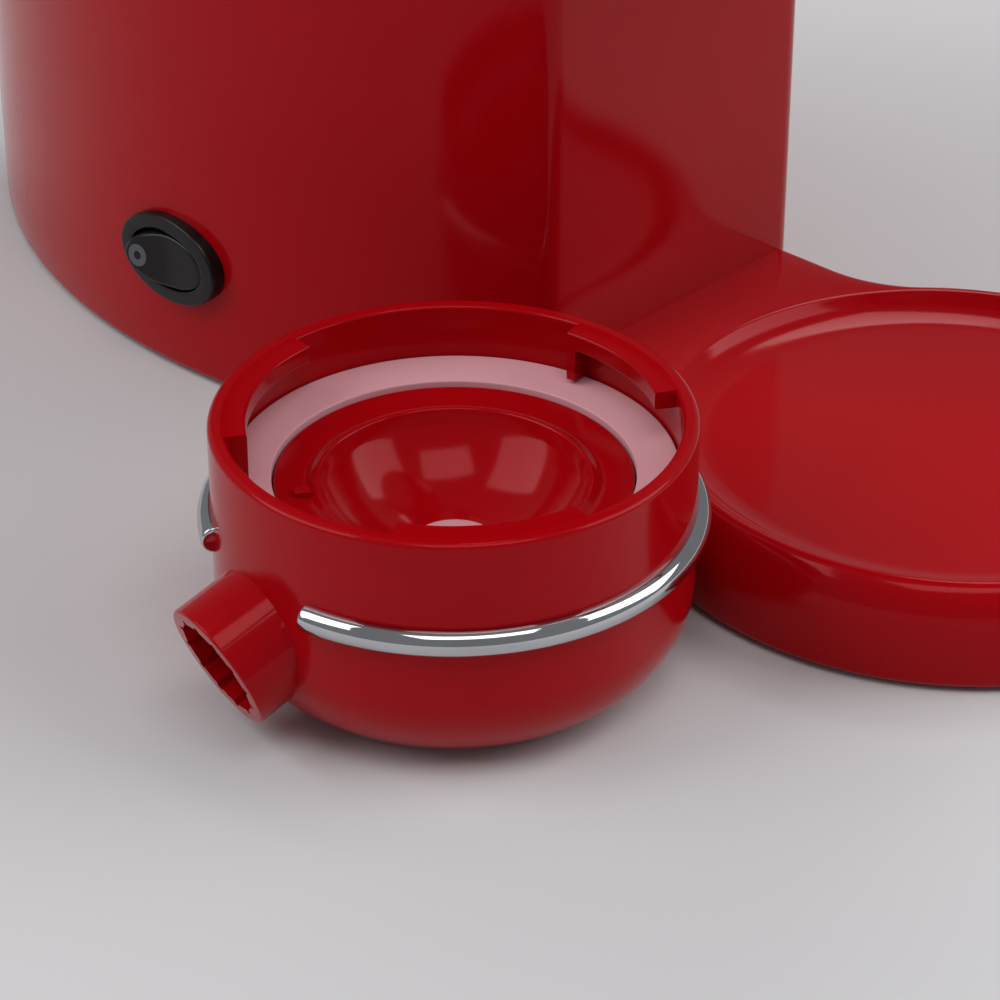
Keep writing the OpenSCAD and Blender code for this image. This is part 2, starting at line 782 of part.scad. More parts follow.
module pump_frame() {
    color("silver") difference() {
        pump_block(coil_w * 0.7, coil_w + 2 * frame_t, coil_len + 2 * frame_t);
        pump_block(coil_w, coil_w + 2 * pin_gap, coil_len + 2 * pin_gap);
        translate([0, pump_y - pump_len, pump_z]) rotate([-90, 0, 0])
            cylinder(r = pump_tube_r + pin_gap, h = 2 * pump_len);
    }
}

module pump_tube() {
    color("white") translate([0, pump_front_y, pump_z]) rotate([-90, 0, 0]) difference() {
        union() {
            cylinder(r = pump_tube_r, h = pump_len);
            translate([0, 0, -spigot_len]) cylinder(r = spigot_r, h = pump_len + 2 * spigot_len);
        }
        translate([0, 0, -spigot_len - over])
            cylinder(r = spigot_r - 1, h = pump_len + 2 * spigot_len + 2 * over);
    }
}

module pump_collars() {
    color("black") for (y = [pump_front_y, pump_back_y - collar_len])
        translate([0, y, pump_z]) rotate([-90, 0, 0]) difference() {
            cylinder(r = collar_r, h = collar_len);
            translate([0, 0, -over]) cylinder(r = pump_tube_r, h = collar_len + 2 * over);
        }
}

module suction_hose() {
    drop_top = shelf_z - port_depth - 0.5;
    color("whitesmoke") {
        translate([0, valve_y, pump_z + hose_bend_r]) hose(drop_top - pump_z - hose_bend_r);
        translate([0, valve_y, pump_z + hose_bend_r]) rotate([180, 0, 0]) hose_bend();
        translate([0, pump_back_y + 0.5, pump_z]) rotate([-90, 0, 0])
            hose(valve_y - hose_bend_r - pump_back_y - 0.5);
    }
}

module pressure_hose() {
    rise_from = pump_z + hose_bend_r;
    rise_to = bridge_z - hose_bend_r;
    color("whitesmoke") {
        translate([0, riser_y + hose_bend_r, pump_z]) rotate([-90, 0, 0])
            hose(pump_front_y - 0.5 - riser_y - hose_bend_r);
        translate([0, riser_y, rise_from]) rotate([180, 0, 0]) mirror([0, 1, 0]) hose_bend();
        translate([0, riser_y, rise_from]) hose(rise_to - rise_from);
        translate([0, riser_y, rise_to]) mirror([0, 1, 0]) hose_bend();
        translate([0, inlet_y + hose_bend_r, bridge_z]) rotate([-90, 0, 0])
            hose(riser_y - inlet_y - 2 * hose_bend_r);
        translate([0, inlet_y, rise_to]) hose_bend();
        translate([0, inlet_y, boiler_top + boiler_lid_t + inlet_boss_h + 0.5])
            hose(rise_to - boiler_top - boiler_lid_t - inlet_boss_h - 0.5);
    }
}

module hose_clip() {
    difference() {
        cylinder(r = hose_r + 0.9, h = 3);
        translate([0, 0, -over]) cylinder(r = hose_r, h = 3 + 2 * over);
    }
}

module hose_clips() {
    color("silver") {
        translate([0, valve_y, shelf_z - port_depth - 6]) hose_clip();
        translate([0, pump_back_y + 3, pump_z]) rotate([-90, 0, 0]) hose_clip();
        translate([0, pump_front_y - 6, pump_z]) rotate([-90, 0, 0]) hose_clip();
        translate([0, inlet_y, boiler_top + boiler_lid_t + inlet_boss_h + 1.5]) hose_clip();
    }
}

module switch_housing() {
    color("black") on_switch() difference() {
        union() {
            translate([0, 0, -seat_depth]) linear_extrude(seat_depth + flange_out)
                oval(bezel_a, bezel_b, 5.5);
            translate([0, 0, -barrel_in]) linear_extrude(barrel_in + 0.5)
                oval(barrel_a, barrel_b, 5);
        }
        translate([0, 0, -barrel_in + 2]) linear_extrude(barrel_in + 2 * flange_out)
            oval(window_a, window_b, 4.4);
        translate([-window_b - 0.7, 0, pivot_z]) rotate([0, 90, 0])
            cylinder(r = 1 + pin_gap, h = 2 * window_b + 1.4);
    }
}

module switch_terminals() {
    color("silver") on_switch() for (y = [-6, 0, 6])
        translate([-0.4, y - 1.6, -barrel_in - 8]) cube([0.8, 3.2, 8]);
}

// The rocker, at rest with its front end pressed in
module rocker_frame() {
    on_switch() translate([0, 0, pivot_z]) rotate([rocker_tilt, 0, 0]) children();
}

module rocker() {
    swing_r = rocker_a;
    crest = 3.7;
    rise = 1.5;
    slope = atan2(rise, swing_r + over);
    color("black") rocker_frame() difference() {
        union() {
            intersection() {
                translate([0, 0, -7]) linear_extrude(16) oval(rocker_a, rocker_b, 4);
                rotate([90, 0, 90]) linear_extrude(4 * rocker_b, center = true) intersection() {
                    circle(swing_r);
                    polygon([[-swing_r - over, -2], [-3, -6], [3, -6], [swing_r + over, -2],
                        [swing_r + over, crest + rise], [0, crest], [-swing_r - over, crest + rise]]);
                }
            }
            rotate([0, 90, 0]) cylinder(r = 1, h = 2 * window_b + 1, center = true);
        }
        // round off mark sunk into the back end
        translate([0, 0, crest]) rotate([slope, 0, 0]) translate([0, 0.6 * swing_r, -0.2]) difference() {
            cylinder(r = 2.2, h = 1);
            translate([0, 0, -over]) cylinder(r = 1, h = 3);
        }
    }
}

module cord_gland() {
    color("black") translate([0, back_y, gland_z]) rotate([-90, 0, 0]) difference() {
        union() {
            translate([0, 0, -12]) cylinder(r = gland_r, h = 14);
            translate([0, 0, -gland_seat]) cylinder(r = gland_r + gland_rim, h = 3);
            translate([0, 0, -wall - 4.4]) cylinder(r = gland_r + gland_rim, h = 3.2);
        }
        translate([0, 0, -14]) cylinder(r = gland_bore_r, h = 20);
    }
}

module terminal_block() {
    color("whitesmoke") translate([block_x, block_y, base_top]) difference() {
        translate([-block_w / 2, -block_len / 2, 0]) cube([block_w, block_len, block_h]);
        for (y = [-1, 0, 1] * block_len / 3) translate([0, y, block_hole_z]) {
            cylinder(r = 2 * lead_r, h = block_h);
            rotate([0, 90, 0]) cylinder(r = lead_r + pin_gap, h = block_w + 2 * over, center = true);
        }
    }
}

// A lead along the given points, with a small bead at each corner
module lead(points) {
    for (i = [0:len(points) - 2]) {
        v = points[i + 1] - points[i];
        translate(points[i]) rotate([0, acos(v[2] / norm(v)), atan2(v[1], v[0])])
            cylinder(r = lead_r, h = norm(v), $fn = 24);
        if (i > 0) translate(points[i]) sphere(bead_r, $fn = 24);
    }
}

module leads() {
    block = [block_x, block_y, base_top + block_hole_z];
    entry = block_w / 2 - 3;
    behind_y = pump_back_y + 2.5;
    saddle_side = collar_r + 3;
    coil_front = pump_y - coil_len / 2;
    coil_back = pump_y + coil_len / 2;
    tab_x = barrel_in + 8 - body_w / 2;
    lid_z = boiler_top + boiler_lid_t;
    tap_a = boiler_r + 5;
    color("saddlebrown") {
        // switch to terminal block
        lead([[tab_x, switch_y + 6, switch_z], [tab_x + 3, switch_y + 6, switch_z],
            [tab_x + 3, switch_y + 30, 12], [-saddle_side, behind_y, block[2] + 2],
            [saddle_side, behind_y, block[2]], block + [-entry - 5, 0, 0], block + [-entry, 0, 0]]);
        // switch to thermostat
        lead([[tab_x, switch_y, switch_z], [tab_x + 3, switch_y, switch_z],
            [tab_x + 3, switch_y - 26, switch_z + 20], [tab_x + 6, front_y + 22, 100],
            [-14, front_y + 10, boiler_z + 30], [-14, front_y - 8, lid_z + 18],
            [-17.2, 10, lid_z + 18], [-17.2, -4, lid_z + 18], [-17.2, -4, lid_z + 16]]);
        // thermostat to fuse
        lead([[-10.8, -4, lid_z + 16], [-10.8, -4, lid_z + 18], [15, -20, lid_z + 18],
            [15, -20, lid_z + 3], [15, -16, lid_z + 3]]);
        // fuse to band heater
        lead([[15, 4, lid_z + 3], [15, 8, lid_z + 3],
            [tap_a * cos(64), tap_a * sin(64), lid_z + 3],
            [tap_a * cos(64), tap_a * sin(64), boiler_z + 13]]);
    }
    color("navy") {
        // band heater to pump
        lead([[tap_a * cos(106), tap_a * sin(106), boiler_z + 13],
            [tap_a * cos(106), tap_a * sin(106), lid_z], [-14.5, front_y + 6.5, lid_z],
            [-14.5, front_y + 6.5, pump_z + 29], [-14.5, coil_front - 5, pump_z + 4],
            [-14.5, coil_front, pump_z + 4]]);
        // pump to terminal block
        lead([[14.5, coil_back, pump_z - 10], [14.5, coil_back + 5, pump_z - 10],
            [saddle_side + 0.6, block[1] - block_len / 3, block[2]], block + [-entry, -block_len / 3, 0]]);
    }
}

// Rounded top of the body: slices of the plan, drawn in along a quarter circle
module crown(z0, h) {
    steps = 7;
    translate([0, 0, z0]) linear_extrude(h - crown_r + 0.02) body_plan();
    translate([0, 0, z0 + h - crown_r]) hull() {
        linear_extrude(0.02) body_plan();
        for (i = [1:steps]) translate([0, 0, crown_r * sin(90 * i / steps) - 0.02])
            linear_extrude(0.02) body_plan(crown_r * (1 - cos(90 * i / steps)));
    }
}

// Rounded top of the head, turned round its axis
module head_crown(z0, h) {
    translate([0, 0, z0]) rotate_extrude() {
        square([head_r - crown_r, h]);
        square([head_r, h - crown_r]);
        translate([head_r - crown_r, h - crown_r]) circle(crown_r);
    }
}

// Rounded bar that joins the two crowns
module neck_crown(z0, h) {
    translate([0, front_y + 2 * front_edge_r, z0]) rotate([90, 0, 0])
        linear_extrude(front_y + 2 * front_edge_r) {
            translate([-neck_half, 0]) square([2 * neck_half, h - crown_r]);
            translate([crown_r - neck_half, 0]) square([2 * (neck_half - crown_r), h]);
            for (s = [-1, 1]) translate([s * (neck_half - crown_r), h - crown_r]) circle(crown_r);
        }
}

module top_cover() {
    edge = crown_r * 0.35;
    lip = wall + slip;
    back = bulkhead_y - bulkhead_t;
    color("crimson") difference() {
        union() {
            difference() {
                crown(shell_top, cover_h);
                translate([-body_w, bulkhead_y, 0]) cube([2 * body_w, body_w, 2 * top_z]);
            }
            head_crown(shell_top, cover_h);
            neck_crown(shell_top, cover_h);
            // lip that enters the shells
            translate([0, 0, shell_top - lip_h]) linear_extrude(lip_h + over) intersection() {
                union() {
                    body_plan(lip);
                    intersection() {
                        head_plan(lip);
                        translate([-head_r, -head_r - slip]) square([2 * head_r, head_r + front_y]);
                    }
                }
                translate([-body_w, -body_w]) square([2 * body_w, body_w + back - slip]);
            }
        }
        translate([0, 0, shell_top - lip_h - over]) linear_extrude(lip_h + over + cover_h - roof_t)
            difference() {
                union() {
                    body_plan(lip + edge);
                    head_plan(lip + edge);
                    translate([-passage_half, 0]) square([2 * passage_half, front_y + 2 * (lip + edge)]);
                }
                translate([-body_w, back - wall]) square([2 * body_w, body_w]);
            }
        // groove for the top edge of the bulkhead
        translate([-body_w, back - slip, shell_top - lip_h - over])
            cube([2 * body_w, bulkhead_t + 2 * over, 2 * lip_h + over]);
        translate([0, 0, shell_top]) cylinder(r = button_r + 1.4, h = 2 * cover_h);
        translate([0, button_r + 12, shell_top]) cylinder(r = 2.2, h = 2 * cover_h);
    }
    // posts for the cover screws
    color("crimson") cover_screw_places() translate([0, 0, shell_top - cover_hanger_h]) difference() {
        cylinder(r = boss_post_r - 0.8, h = cover_hanger_h + cover_h - roof_t + over);
        translate([0, 0, -over]) cylinder(r = screw_r, h = 2 * cover_hanger_h + 2);
    }
    // hangers of the button switch
    color("crimson") for (s = [-1, 1]) translate([s * 14.5 - 1.5, -4, top_z - 22])
        cube([3, 8, 22 - roof_t + over]);
}

module cover_screws() {
    color("silver") cover_screw_places() translate([0, 0, shell_top - cover_post_foot])
        rotate([180, 0, 0]) screw(cover_screw_len);
}

module button_bezel() {
    color("silver") translate([0, 0, top_z]) rotate_extrude() {
        translate([button_r + 0.3, -sleeve_h]) square([0.9, sleeve_h + bezel_t]);
        translate([button_r + 0.3, 0]) square([bezel_w, bezel_t]);
    }
}

// The button is held under its bezel by a flange and guided by its stem
module brew_button() {
    foot = sleeve_h + touch + 1.2;
    color("crimson") translate([0, 0, top_z]) {
        translate([0, 0, -foot]) cylinder(r = button_r, h = foot + bezel_t + button_travel);
        translate([0, 0, -foot]) cylinder(r = button_r + 1, h = 1.2);
        translate([0, 0, -14]) cylinder(r = 1.6, h = 8);
    }
}

module button_switch() {
    color("black") translate([0, 0, top_z]) difference() {
        translate([-13, -3.2, -22]) cube([26, 6.4, 10]);
        translate([0, 0, -14 - button_travel - 1]) cylinder(r = 1.6 + pin_gap, h = 10);
    }
}

module pilot_lens() {
    color("orange") translate([0, button_r + 12, top_z]) {
        translate([0, 0, -roof_t]) cylinder(r = 2.1, h = roof_t + 0.2);
        translate([0, 0, -roof_t - 1.2]) cylinder(r = 3.2, h = 1.2);
    }
}

module tank_plan(inset = 0) {
    intersection() {
        body_plan(inset);
        translate([-body_w, tank_y + inset]) square([2 * body_w, body_w]);
    }
}

module water_tank() {
    color("lightsteelblue", 0.5) difference() {
        union() {
            difference() {
                translate([0, 0, tank_z]) linear_extrude(tank_top - tank_z) tank_plan();
                translate([0, 0, tank_z + tank_floor]) linear_extrude(top_z) tank_plan(tank_wall);
            }
            for (s = [-1, 1])
                translate([s * (hinge_half + touch + ear_w / 2) - ear_w / 2, tank_y, tank_top - 6])
                    cube([ear_w, 2 * hinge_r, 6 + touch + hinge_r]);
            for (s = [-1, 1]) translate([s * (hinge_half + touch + ear_w / 2) - ear_w / 2, hinge_y, hinge_z])
                rotate([0, 90, 0]) cylinder(r = hinge_r - 0.4, h = ear_w);
        }
        translate([0, valve_y, 0]) cylinder(r = valve_r - 2, h = tank_z + 2 * tank_floor);
        translate([-hinge_half - 12, hinge_y, hinge_z]) rotate([0, 90, 0])
            cylinder(r = pin_r, h = 2 * hinge_half + 24);
    }
}

module tank_valve() {
    color("white") translate([0, valve_y, tank_z]) difference() {
        union() {
            translate([0, 0, -8]) cylinder(r = valve_r - pin_gap, h = 8);
            translate([0, 0, -1]) cylinder(r = valve_r - 2 - pin_gap, h = tank_floor + 1);
            translate([0, 0, tank_floor]) cylinder(r = valve_r, h = 2);
        }
        translate([0, 0, -6]) cylinder(r = valve_r - 3.5, h = 14);
        translate([0, 0, -9]) cylinder(r = 1.5, h = 6);
    }
}

module tank_strainer() {
    color("silver") translate([0, valve_y, tank_z + tank_floor + 2]) difference() {
        cylinder(r = valve_r - 0.5, h = 14);
        translate([0, 0, -over]) cylinder(r = valve_r - 1.3, h = 14);
        for (a = [0:60:300]) rotate(a) translate([valve_r - 3, -1.2, 2]) cube([6, 2.4, 9]);
    }
}

module tank_lid() {
    ear_slot = ear_w + 2 * touch;
    color("crimson") difference() {
        union() {
            intersection() {
                crown(top_z - cover_h, cover_h);
                union() {
                    translate([-body_w, hinge_y, tank_top + touch]) cube([2 * body_w, body_w, 2 * lid_t]);
                    translate([-body_w, hinge_y, hinge_z]) rotate([0, 90, 0])
                        cylinder(r = hinge_r, h = 2 * body_w);
                }
            }
            translate([0, 0, tank_top - 2.5]) linear_extrude(2.5 + touch + over) difference() {
                tank_plan(tank_wall + 2 * touch);
                tank_plan(tank_wall + 2);
                translate([-body_w, 0]) square([2 * body_w, tank_y + 30]);
            }
        }
        for (s = [-1, 1]) translate([s * (hinge_half + touch + ear_w / 2) - ear_slot / 2,
                tank_y - over, tank_top - over])
            cube([ear_slot, 2 * hinge_r + touch + over, lid_t + 2 * over + touch]);
        translate([-hinge_half - 12, hinge_y, hinge_z]) rotate([0, 90, 0])
            cylinder(r = pin_r + pin_gap, h = 2 * hinge_half + 24);
    }
}

module lid_pins() {
    color("silver") for (s = [-1, 1]) translate([s * (hinge_half + touch + ear_w / 2 - 3), hinge_y, hinge_z])
        rotate([0, 90, 0]) cylinder(r = pin_r, h = ear_w + 6, center = true);
}

// Half section of the outside of the holder
module holder_section() {
    edge = 0.9;
    square([holder_r - holder_foot_r, holder_h]);
    translate([0, holder_foot_r]) square([holder_r, holder_h - holder_foot_r - edge]);
    intersection() {
        translate([holder_r - holder_foot_r, holder_foot_r]) circle(holder_foot_r);
        square([holder_r, holder_h]);
    }
    translate([0, holder_h - 2 * edge]) square([holder_r - edge, 2 * edge]);
    translate([holder_r - edge, holder_h - edge]) circle(edge);
}

module holder_cup() {
    teeth = 12;
    color("crimson") at_holder() difference() {
        union() {
            difference() {
                union() {
                    rotate_extrude() holder_section();
                    along_stub() translate([0, 0, holder_r * 0.86])
                        cylinder(r = stub_r, h = stub_reach - holder_r * 0.86);
                    // pip that marks the locked place
                    rotate(86) translate([holder_r, 0, holder_h - 4]) cylinder(r = 1.1, h = 3.4);
                }
                translate([0, 0, chamber_floor]) cylinder(r = chamber_r, h = holder_h);
                translate([0, 0, step_z]) cylinder(r = rim_inner_r, h = holder_h);
            }
            for (l = ledges) rotate(l[0]) {
                translate([0, 0, holder_h - ledge_t]) rotate_extrude(angle = l[1])
                    translate([ledge_inner_r, 0])
                        square([rim_inner_r + over - ledge_inner_r, ledge_t]);
                rotate(l[1] - stop_turn - 0.4) translate([0, 0, gasket_z + touch])
                    rotate_extrude(angle = stop_turn) translate([ledge_inner_r + slip, 0])
                        square([rim_inner_r + over - ledge_inner_r - slip,
                            holder_h - gasket_z - touch - over]);
            }
        }
        translate([0, 0, -over]) cylinder(r = 3, h = chamber_floor + 2 * over);
        along_stub() translate([0, 0, stub_reach - socket_depth]) {
            cylinder(r = socket_r, h = socket_depth + over);
            for (i = [0:teeth - 1]) rotate(i * 360 / teeth) translate([socket_r - 1, -0.35, socket_depth - 5])
                cube([1.9, 0.7, 6]);
        }
        // groove and holes of the chrome ring
        rotate(ring_start) translate([0, 0, ring_z]) rotate_extrude(angle = ring_sweep)
            translate([holder_r, 0]) circle(ring_wire_r + pin_gap);
        ring_legs(ring_leg_r + pin_gap, ring_leg + pin_gap);
    }
}

// Two short legs near the ends of the ring that reach into the wall
module ring_legs(r, reach) {
    for (a = [ring_start + 4, ring_start + ring_sweep - 4]) rotate(a)
        translate([holder_r, 0, ring_z]) rotate([0, -90, 0]) cylinder(r = r, h = reach);
}

module holder_ring() {
    color("silver") at_holder() {
        rotate(ring_start) translate([0, 0, ring_z]) rotate_extrude(angle = ring_sweep)
            translate([holder_r, 0]) circle(ring_wire_r);
        ring_legs(ring_leg_r, ring_leg);
    }
}

module filter_dish() {
    rim_r = gasket_inner_r - touch;
    bowl_z = annulus_z - bowl_depth;
    color("crimson") at_holder() {
        difference() {
            union() {
                translate([0, 0, step_z]) cylinder(r = rim_inner_r - slip, h = dish_wall);
                translate([0, 0, step_z]) cylinder(r = rim_r, h = annulus_z - step_z);
                intersection() {
                    translate([0, 0, bowl_z + bowl_sphere_r]) sphere(bowl_sphere_r + dish_wall);
                    cylinder(r = rim_r, h = annulus_z);
                }
            }
            translate([0, 0, bowl_z + bowl_sphere_r]) sphere(bowl_sphere_r);
            cylinder(r = 1.2, h = holder_h);
        }
        rotate(132) translate([bowl_r + 1.2, -1, annulus_z - 0.2]) cube([2.2, 2, 0.7]);
    }
}

module gasket() {
    edge = 0.4;
    color("white") at_holder() translate([0, 0, dish_top]) rotate_extrude()
        translate([gasket_inner_r, 0]) {
            w = rim_inner_r - slip - gasket_inner_r;
            square([w, gasket_t - edge]);
            translate([edge, 0]) square([w - 2 * edge, gasket_t]);
            for (x = [edge, w - edge]) translate([x, gasket_t - edge]) circle(edge);
        }
}

body_shell();
base_plate();
rear_feet();
base_screws();
cup_stand();
stand_sole();
stand_pad();
sole_screws();
stand_screws();
tank_bay();
tank_port();
port_seal();
head_shell();
head_screws();
bayonet_boss();
boss_screws();
shower_plate();
shower_screw();
boiler_body();
boiler_seal();
boiler_lid();
boiler_screws();
band_heater();
thermostat();
thermal_fuse();
pump_coil();
pump_frame();
pump_tube();
pump_collars();
suction_hose();
pressure_hose();
hose_clips();
switch_housing();
switch_terminals();
rocker();
cord_gland();
terminal_block();
leads();
top_cover();
cover_screws();
button_bezel();
brew_button();
button_switch();
pilot_lens();
water_tank();
tank_valve();
tank_strainer();
tank_lid();
lid_pins();
holder_cup();
holder_ring();
filter_dish();
gasket();
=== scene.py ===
"""Looks of the compact espresso machine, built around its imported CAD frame.

The brew axis stands at the origin and the counter lies at z = 0. The body is on the +Y side,
with the power switch on its -X flank. Lengths are in metres.
"""

import json
import math

import bmesh
import bpy
from mathutils import Matrix, Vector


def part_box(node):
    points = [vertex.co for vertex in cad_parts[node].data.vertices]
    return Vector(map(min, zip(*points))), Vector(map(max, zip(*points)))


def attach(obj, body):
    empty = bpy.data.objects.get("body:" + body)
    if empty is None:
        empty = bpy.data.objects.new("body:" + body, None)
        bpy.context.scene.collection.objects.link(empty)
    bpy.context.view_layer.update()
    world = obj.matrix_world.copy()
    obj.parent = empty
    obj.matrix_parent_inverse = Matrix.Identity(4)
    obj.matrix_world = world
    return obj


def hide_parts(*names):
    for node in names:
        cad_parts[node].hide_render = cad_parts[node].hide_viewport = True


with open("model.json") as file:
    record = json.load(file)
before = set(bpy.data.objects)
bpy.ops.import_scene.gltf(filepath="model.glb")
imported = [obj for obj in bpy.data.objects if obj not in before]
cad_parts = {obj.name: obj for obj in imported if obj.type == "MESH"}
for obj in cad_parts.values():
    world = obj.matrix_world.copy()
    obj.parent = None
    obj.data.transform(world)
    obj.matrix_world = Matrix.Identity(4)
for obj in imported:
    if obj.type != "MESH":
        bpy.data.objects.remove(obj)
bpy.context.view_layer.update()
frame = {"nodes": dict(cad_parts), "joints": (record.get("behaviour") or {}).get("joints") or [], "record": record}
scene = bpy.context.scene

# ---------------------------------------------------------------- sizes

MM = 0.001
POINT = 1e-5  # the radius that stands for a point
UP = (0, 0, 1)
BACKWARD = (0, 1, 0)

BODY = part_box("body_shell")
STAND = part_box("cup_stand")
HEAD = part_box("head_shell")
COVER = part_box("top_cover")
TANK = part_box("water_tank")
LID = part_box("tank_lid")
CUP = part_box("holder_cup")
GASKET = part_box("gasket")
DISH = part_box("filter_dish")
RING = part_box("holder_ring")
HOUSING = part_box("switch_housing")
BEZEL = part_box("button_bezel")
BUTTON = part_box("brew_button")
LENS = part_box("pilot_lens")
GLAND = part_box("cord_gland")
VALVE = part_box("tank_valve")
MOUNTS = {m["name"]: m for m in frame["record"]["mounts"]}
JOINTS = {j["name"]: j for j in frame["joints"]}
PIVOT = JOINTS["rocker_tilt"]["pos_m"]
HINGE = JOINTS["lid_hinge"]["pos_m"]
SOCKET = MOUNTS["handle_socket"]
SOCKET_DEEP = SOCKET["dims"]["length_mm"] * MM

# plan of the body: two flanks, a back and two front edges, all of them arcs, and a flat front
FLANK_R = 125 * MM
BACK_R = 38 * MM
EDGE_R = 5 * MM
WALL = 2.5 * MM
HALF_W = BODY[1].x
FRONT_Y = BODY[0].y
FLANK_C = FLANK_R - HALF_W
WAIST_Y = FRONT_Y + 73.4 * MM
BACK_E = math.sqrt((FLANK_R - BACK_R) ** 2 - FLANK_C**2)
BACK_CY = WAIST_Y + BACK_E
EDGE_CY = FRONT_Y + EDGE_R
EDGE_CX = math.sqrt((FLANK_R - EDGE_R) ** 2 - (WAIST_Y - EDGE_CY) ** 2) - FLANK_C

# stand, head and cover
STAND_R = STAND[1].x
STAND_NECK = EDGE_CX + EDGE_R - 0.8 * MM
STAND_FILLET = 20.5 * MM
HEAD_R = HEAD[1].x
HEAD_NECK = 29.5 * MM
HEAD_FILLET = 8 * MM
CROWN_W, CROWN_H = 4.7 * MM, 7 * MM  # the round top edge of cover and lid
LENS_Y = (LENS[0].y + LENS[1].y) / 2
BUTTON_R = 10.8 * MM

# tank and lid
TANK_Y = TANK[0].y
TANK_GAP = 0.6 * MM
EAR_X = 28.3 * MM

# filter holder
HOLD = Vector(((GASKET[0].x + GASKET[1].x) / 2, (GASKET[0].y + GASKET[1].y) / 2, 0))
HOLD_R = CUP[1].x - HOLD.x
HOLD_H = CUP[1].z
SEAL_R = GASKET[1].x - HOLD.x
SEAL_RISE = 1.5 * MM
CHAMBER_R = 30 * MM
CUP_FLOOR = 3 * MM
STUB_R = 10.6 * MM
LEDGES = ((-34, 43.6), (90.1, 54.5), (209.6, 48))  # start and turn of each, in degrees
RING_START, RING_TURN = 188.4, 320.2

# bowl of the filter dish, a part of a ball
DISH_TOP = GASKET[1].z - 0.7 * MM
BOWL_R, BOWL_DEPTH = 21.2 * MM, 13 * MM
BALL_R = (BOWL_R**2 + BOWL_DEPTH**2) / (2 * BOWL_DEPTH)
BALL_Z = DISH_TOP - BOWL_DEPTH + BALL_R

# power switch: half lengths along and up the flank
WINDOW_A, WINDOW_B = 9.15 * MM, 5.5 * MM
ROCKER_A, ROCKER_B = 8.75 * MM, 5.15 * MM
ROCKER_REST = 10  # degrees


# ---------------------------------------------------------------- mesh helpers


def link(name, data):
    """A new object for a mesh, a lamp or a camera, in the scene."""
    obj = bpy.data.objects.new(name, data)
    scene.collection.objects.link(obj)
    return obj


def smooth(obj, angle=32):
    """Smooth shading, with edges sharper than angle kept sharp."""
    for face in obj.data.polygons:
        face.use_smooth = True
    obj.data.set_sharp_from_angle(angle=math.radians(angle))
    return obj


def solid(name, verts, faces, angle=32):
    """An object from vertices and faces, its doubles merged and its normals outwards."""
    mesh = bpy.data.meshes.new(name)
    mesh.from_pydata([tuple(v) for v in verts], [], faces)
    bm = bmesh.new()
    bm.from_mesh(mesh)
    bmesh.ops.remove_doubles(bm, verts=bm.verts, dist=1e-6)
    bmesh.ops.dissolve_degenerate(bm, edges=bm.edges, dist=1e-7)
    bmesh.ops.recalc_face_normals(bm, faces=bm.faces)
    bm.to_mesh(mesh)
    bm.free()
    return smooth(link(name, mesh), angle)


def loft(name, rings, closed=False, caps=True, angle=32):
    """A skin over rings of equal length. closed joins the last ring to the first."""
    count = len(rings[0])
    verts = [v for ring in rings for v in ring]
    faces = []
    spans = len(rings) if closed else len(rings) - 1
    for k in range(spans):
        a = k * count
        b = (k + 1) % len(rings) * count
        for i in range(count):
            j = (i + 1) % count
            faces.append((a + i, a + j, b + j, b + i))
    if caps and not closed:
        faces.append(tuple(range(count))[::-1])
        faces.append(tuple((len(rings) - 1) * count + i for i in range(count)))
    return solid(name, verts, faces, angle)


def angles(parts):
    """The angles of a full turn in equal parts, in radians."""
    return [2 * math.pi * i / parts for i in range(parts)]


def turned(r, degrees, z=0.0):
    """A point at a distance and angle from an upright axis."""
    a = math.radians(degrees)
    return Vector((r * math.cos(a), r * math.sin(a), z))


def rounded(corners, closed=False, step=9):
    """A path through (x, y, radius) corners, each rounded by an arc in steps of step degrees."""
    path = []
    last = len(corners) - 1
    for i, (x, y, r) in enumerate(corners):
        if r <= 0 or (not closed and i in (0, last)):
            path.append((x, y))
            continue
        here = Vector((x, y))
        before = Vector(corners[i - 1][:2]) - here
        after = Vector(corners[(i + 1) % len(corners)][:2]) - here
        u, v = before.normalized(), after.normalized()
        half = u.angle(v) / 2
        reach = r / math.tan(half)
        centre = here + (u + v).normalized() * (r / math.sin(half))
        start = here + u * reach - centre
        end = here + v * reach - centre
        turn = start.angle_signed(end)
        parts = max(2, math.ceil(abs(math.degrees(turn)) / step))
        for k in range(parts + 1):
            a = -turn * k / parts
            c, s = math.cos(a), math.sin(a)
            path.append((centre.x + start.x * c - start.y * s, centre.y + start.x * s + start.y * c))
    return path


def lathe(name, path, centre=(0, 0), parts=144, closed=False, angle=32):
    """A path of (radius, z) turned about an upright axis."""
    verts = []
    for a in angles(parts):
        c, s = math.cos(a), math.sin(a)
        verts += [(centre[0] + r * c, centre[1] + r * s, z) for r, z in path]
    count = len(path)
    faces = []
    for i in range(parts):
        a = i * count
        b = (i + 1) % parts * count
        for k in range(count if closed else count - 1):
            m = (k + 1) % count
            faces.append((a + k, b + k, b + m, a + m))
    return solid(name, verts, faces, angle)


def boolean(obj, tool, kind, angle=32):
    """obj joined with or cut by tool, which is then removed."""
    mod = obj.modifiers.new(kind, "BOOLEAN")
    mod.operation = kind
    mod.object = tool
    mod.solver = "EXACT"
    bake(obj)
    bpy.data.objects.remove(tool)
    return smooth(obj, angle)


def bake(obj):
    """Applies the modifiers of an object to its mesh."""
    bpy.context.view_layer.update()
    graph = bpy.context.evaluated_depsgraph_get()
    mesh = bpy.data.meshes.new_from_object(obj.evaluated_get(graph))
    obj.modifiers.clear()
    old = obj.data
    obj.data = mesh
    bpy.data.meshes.remove(old)


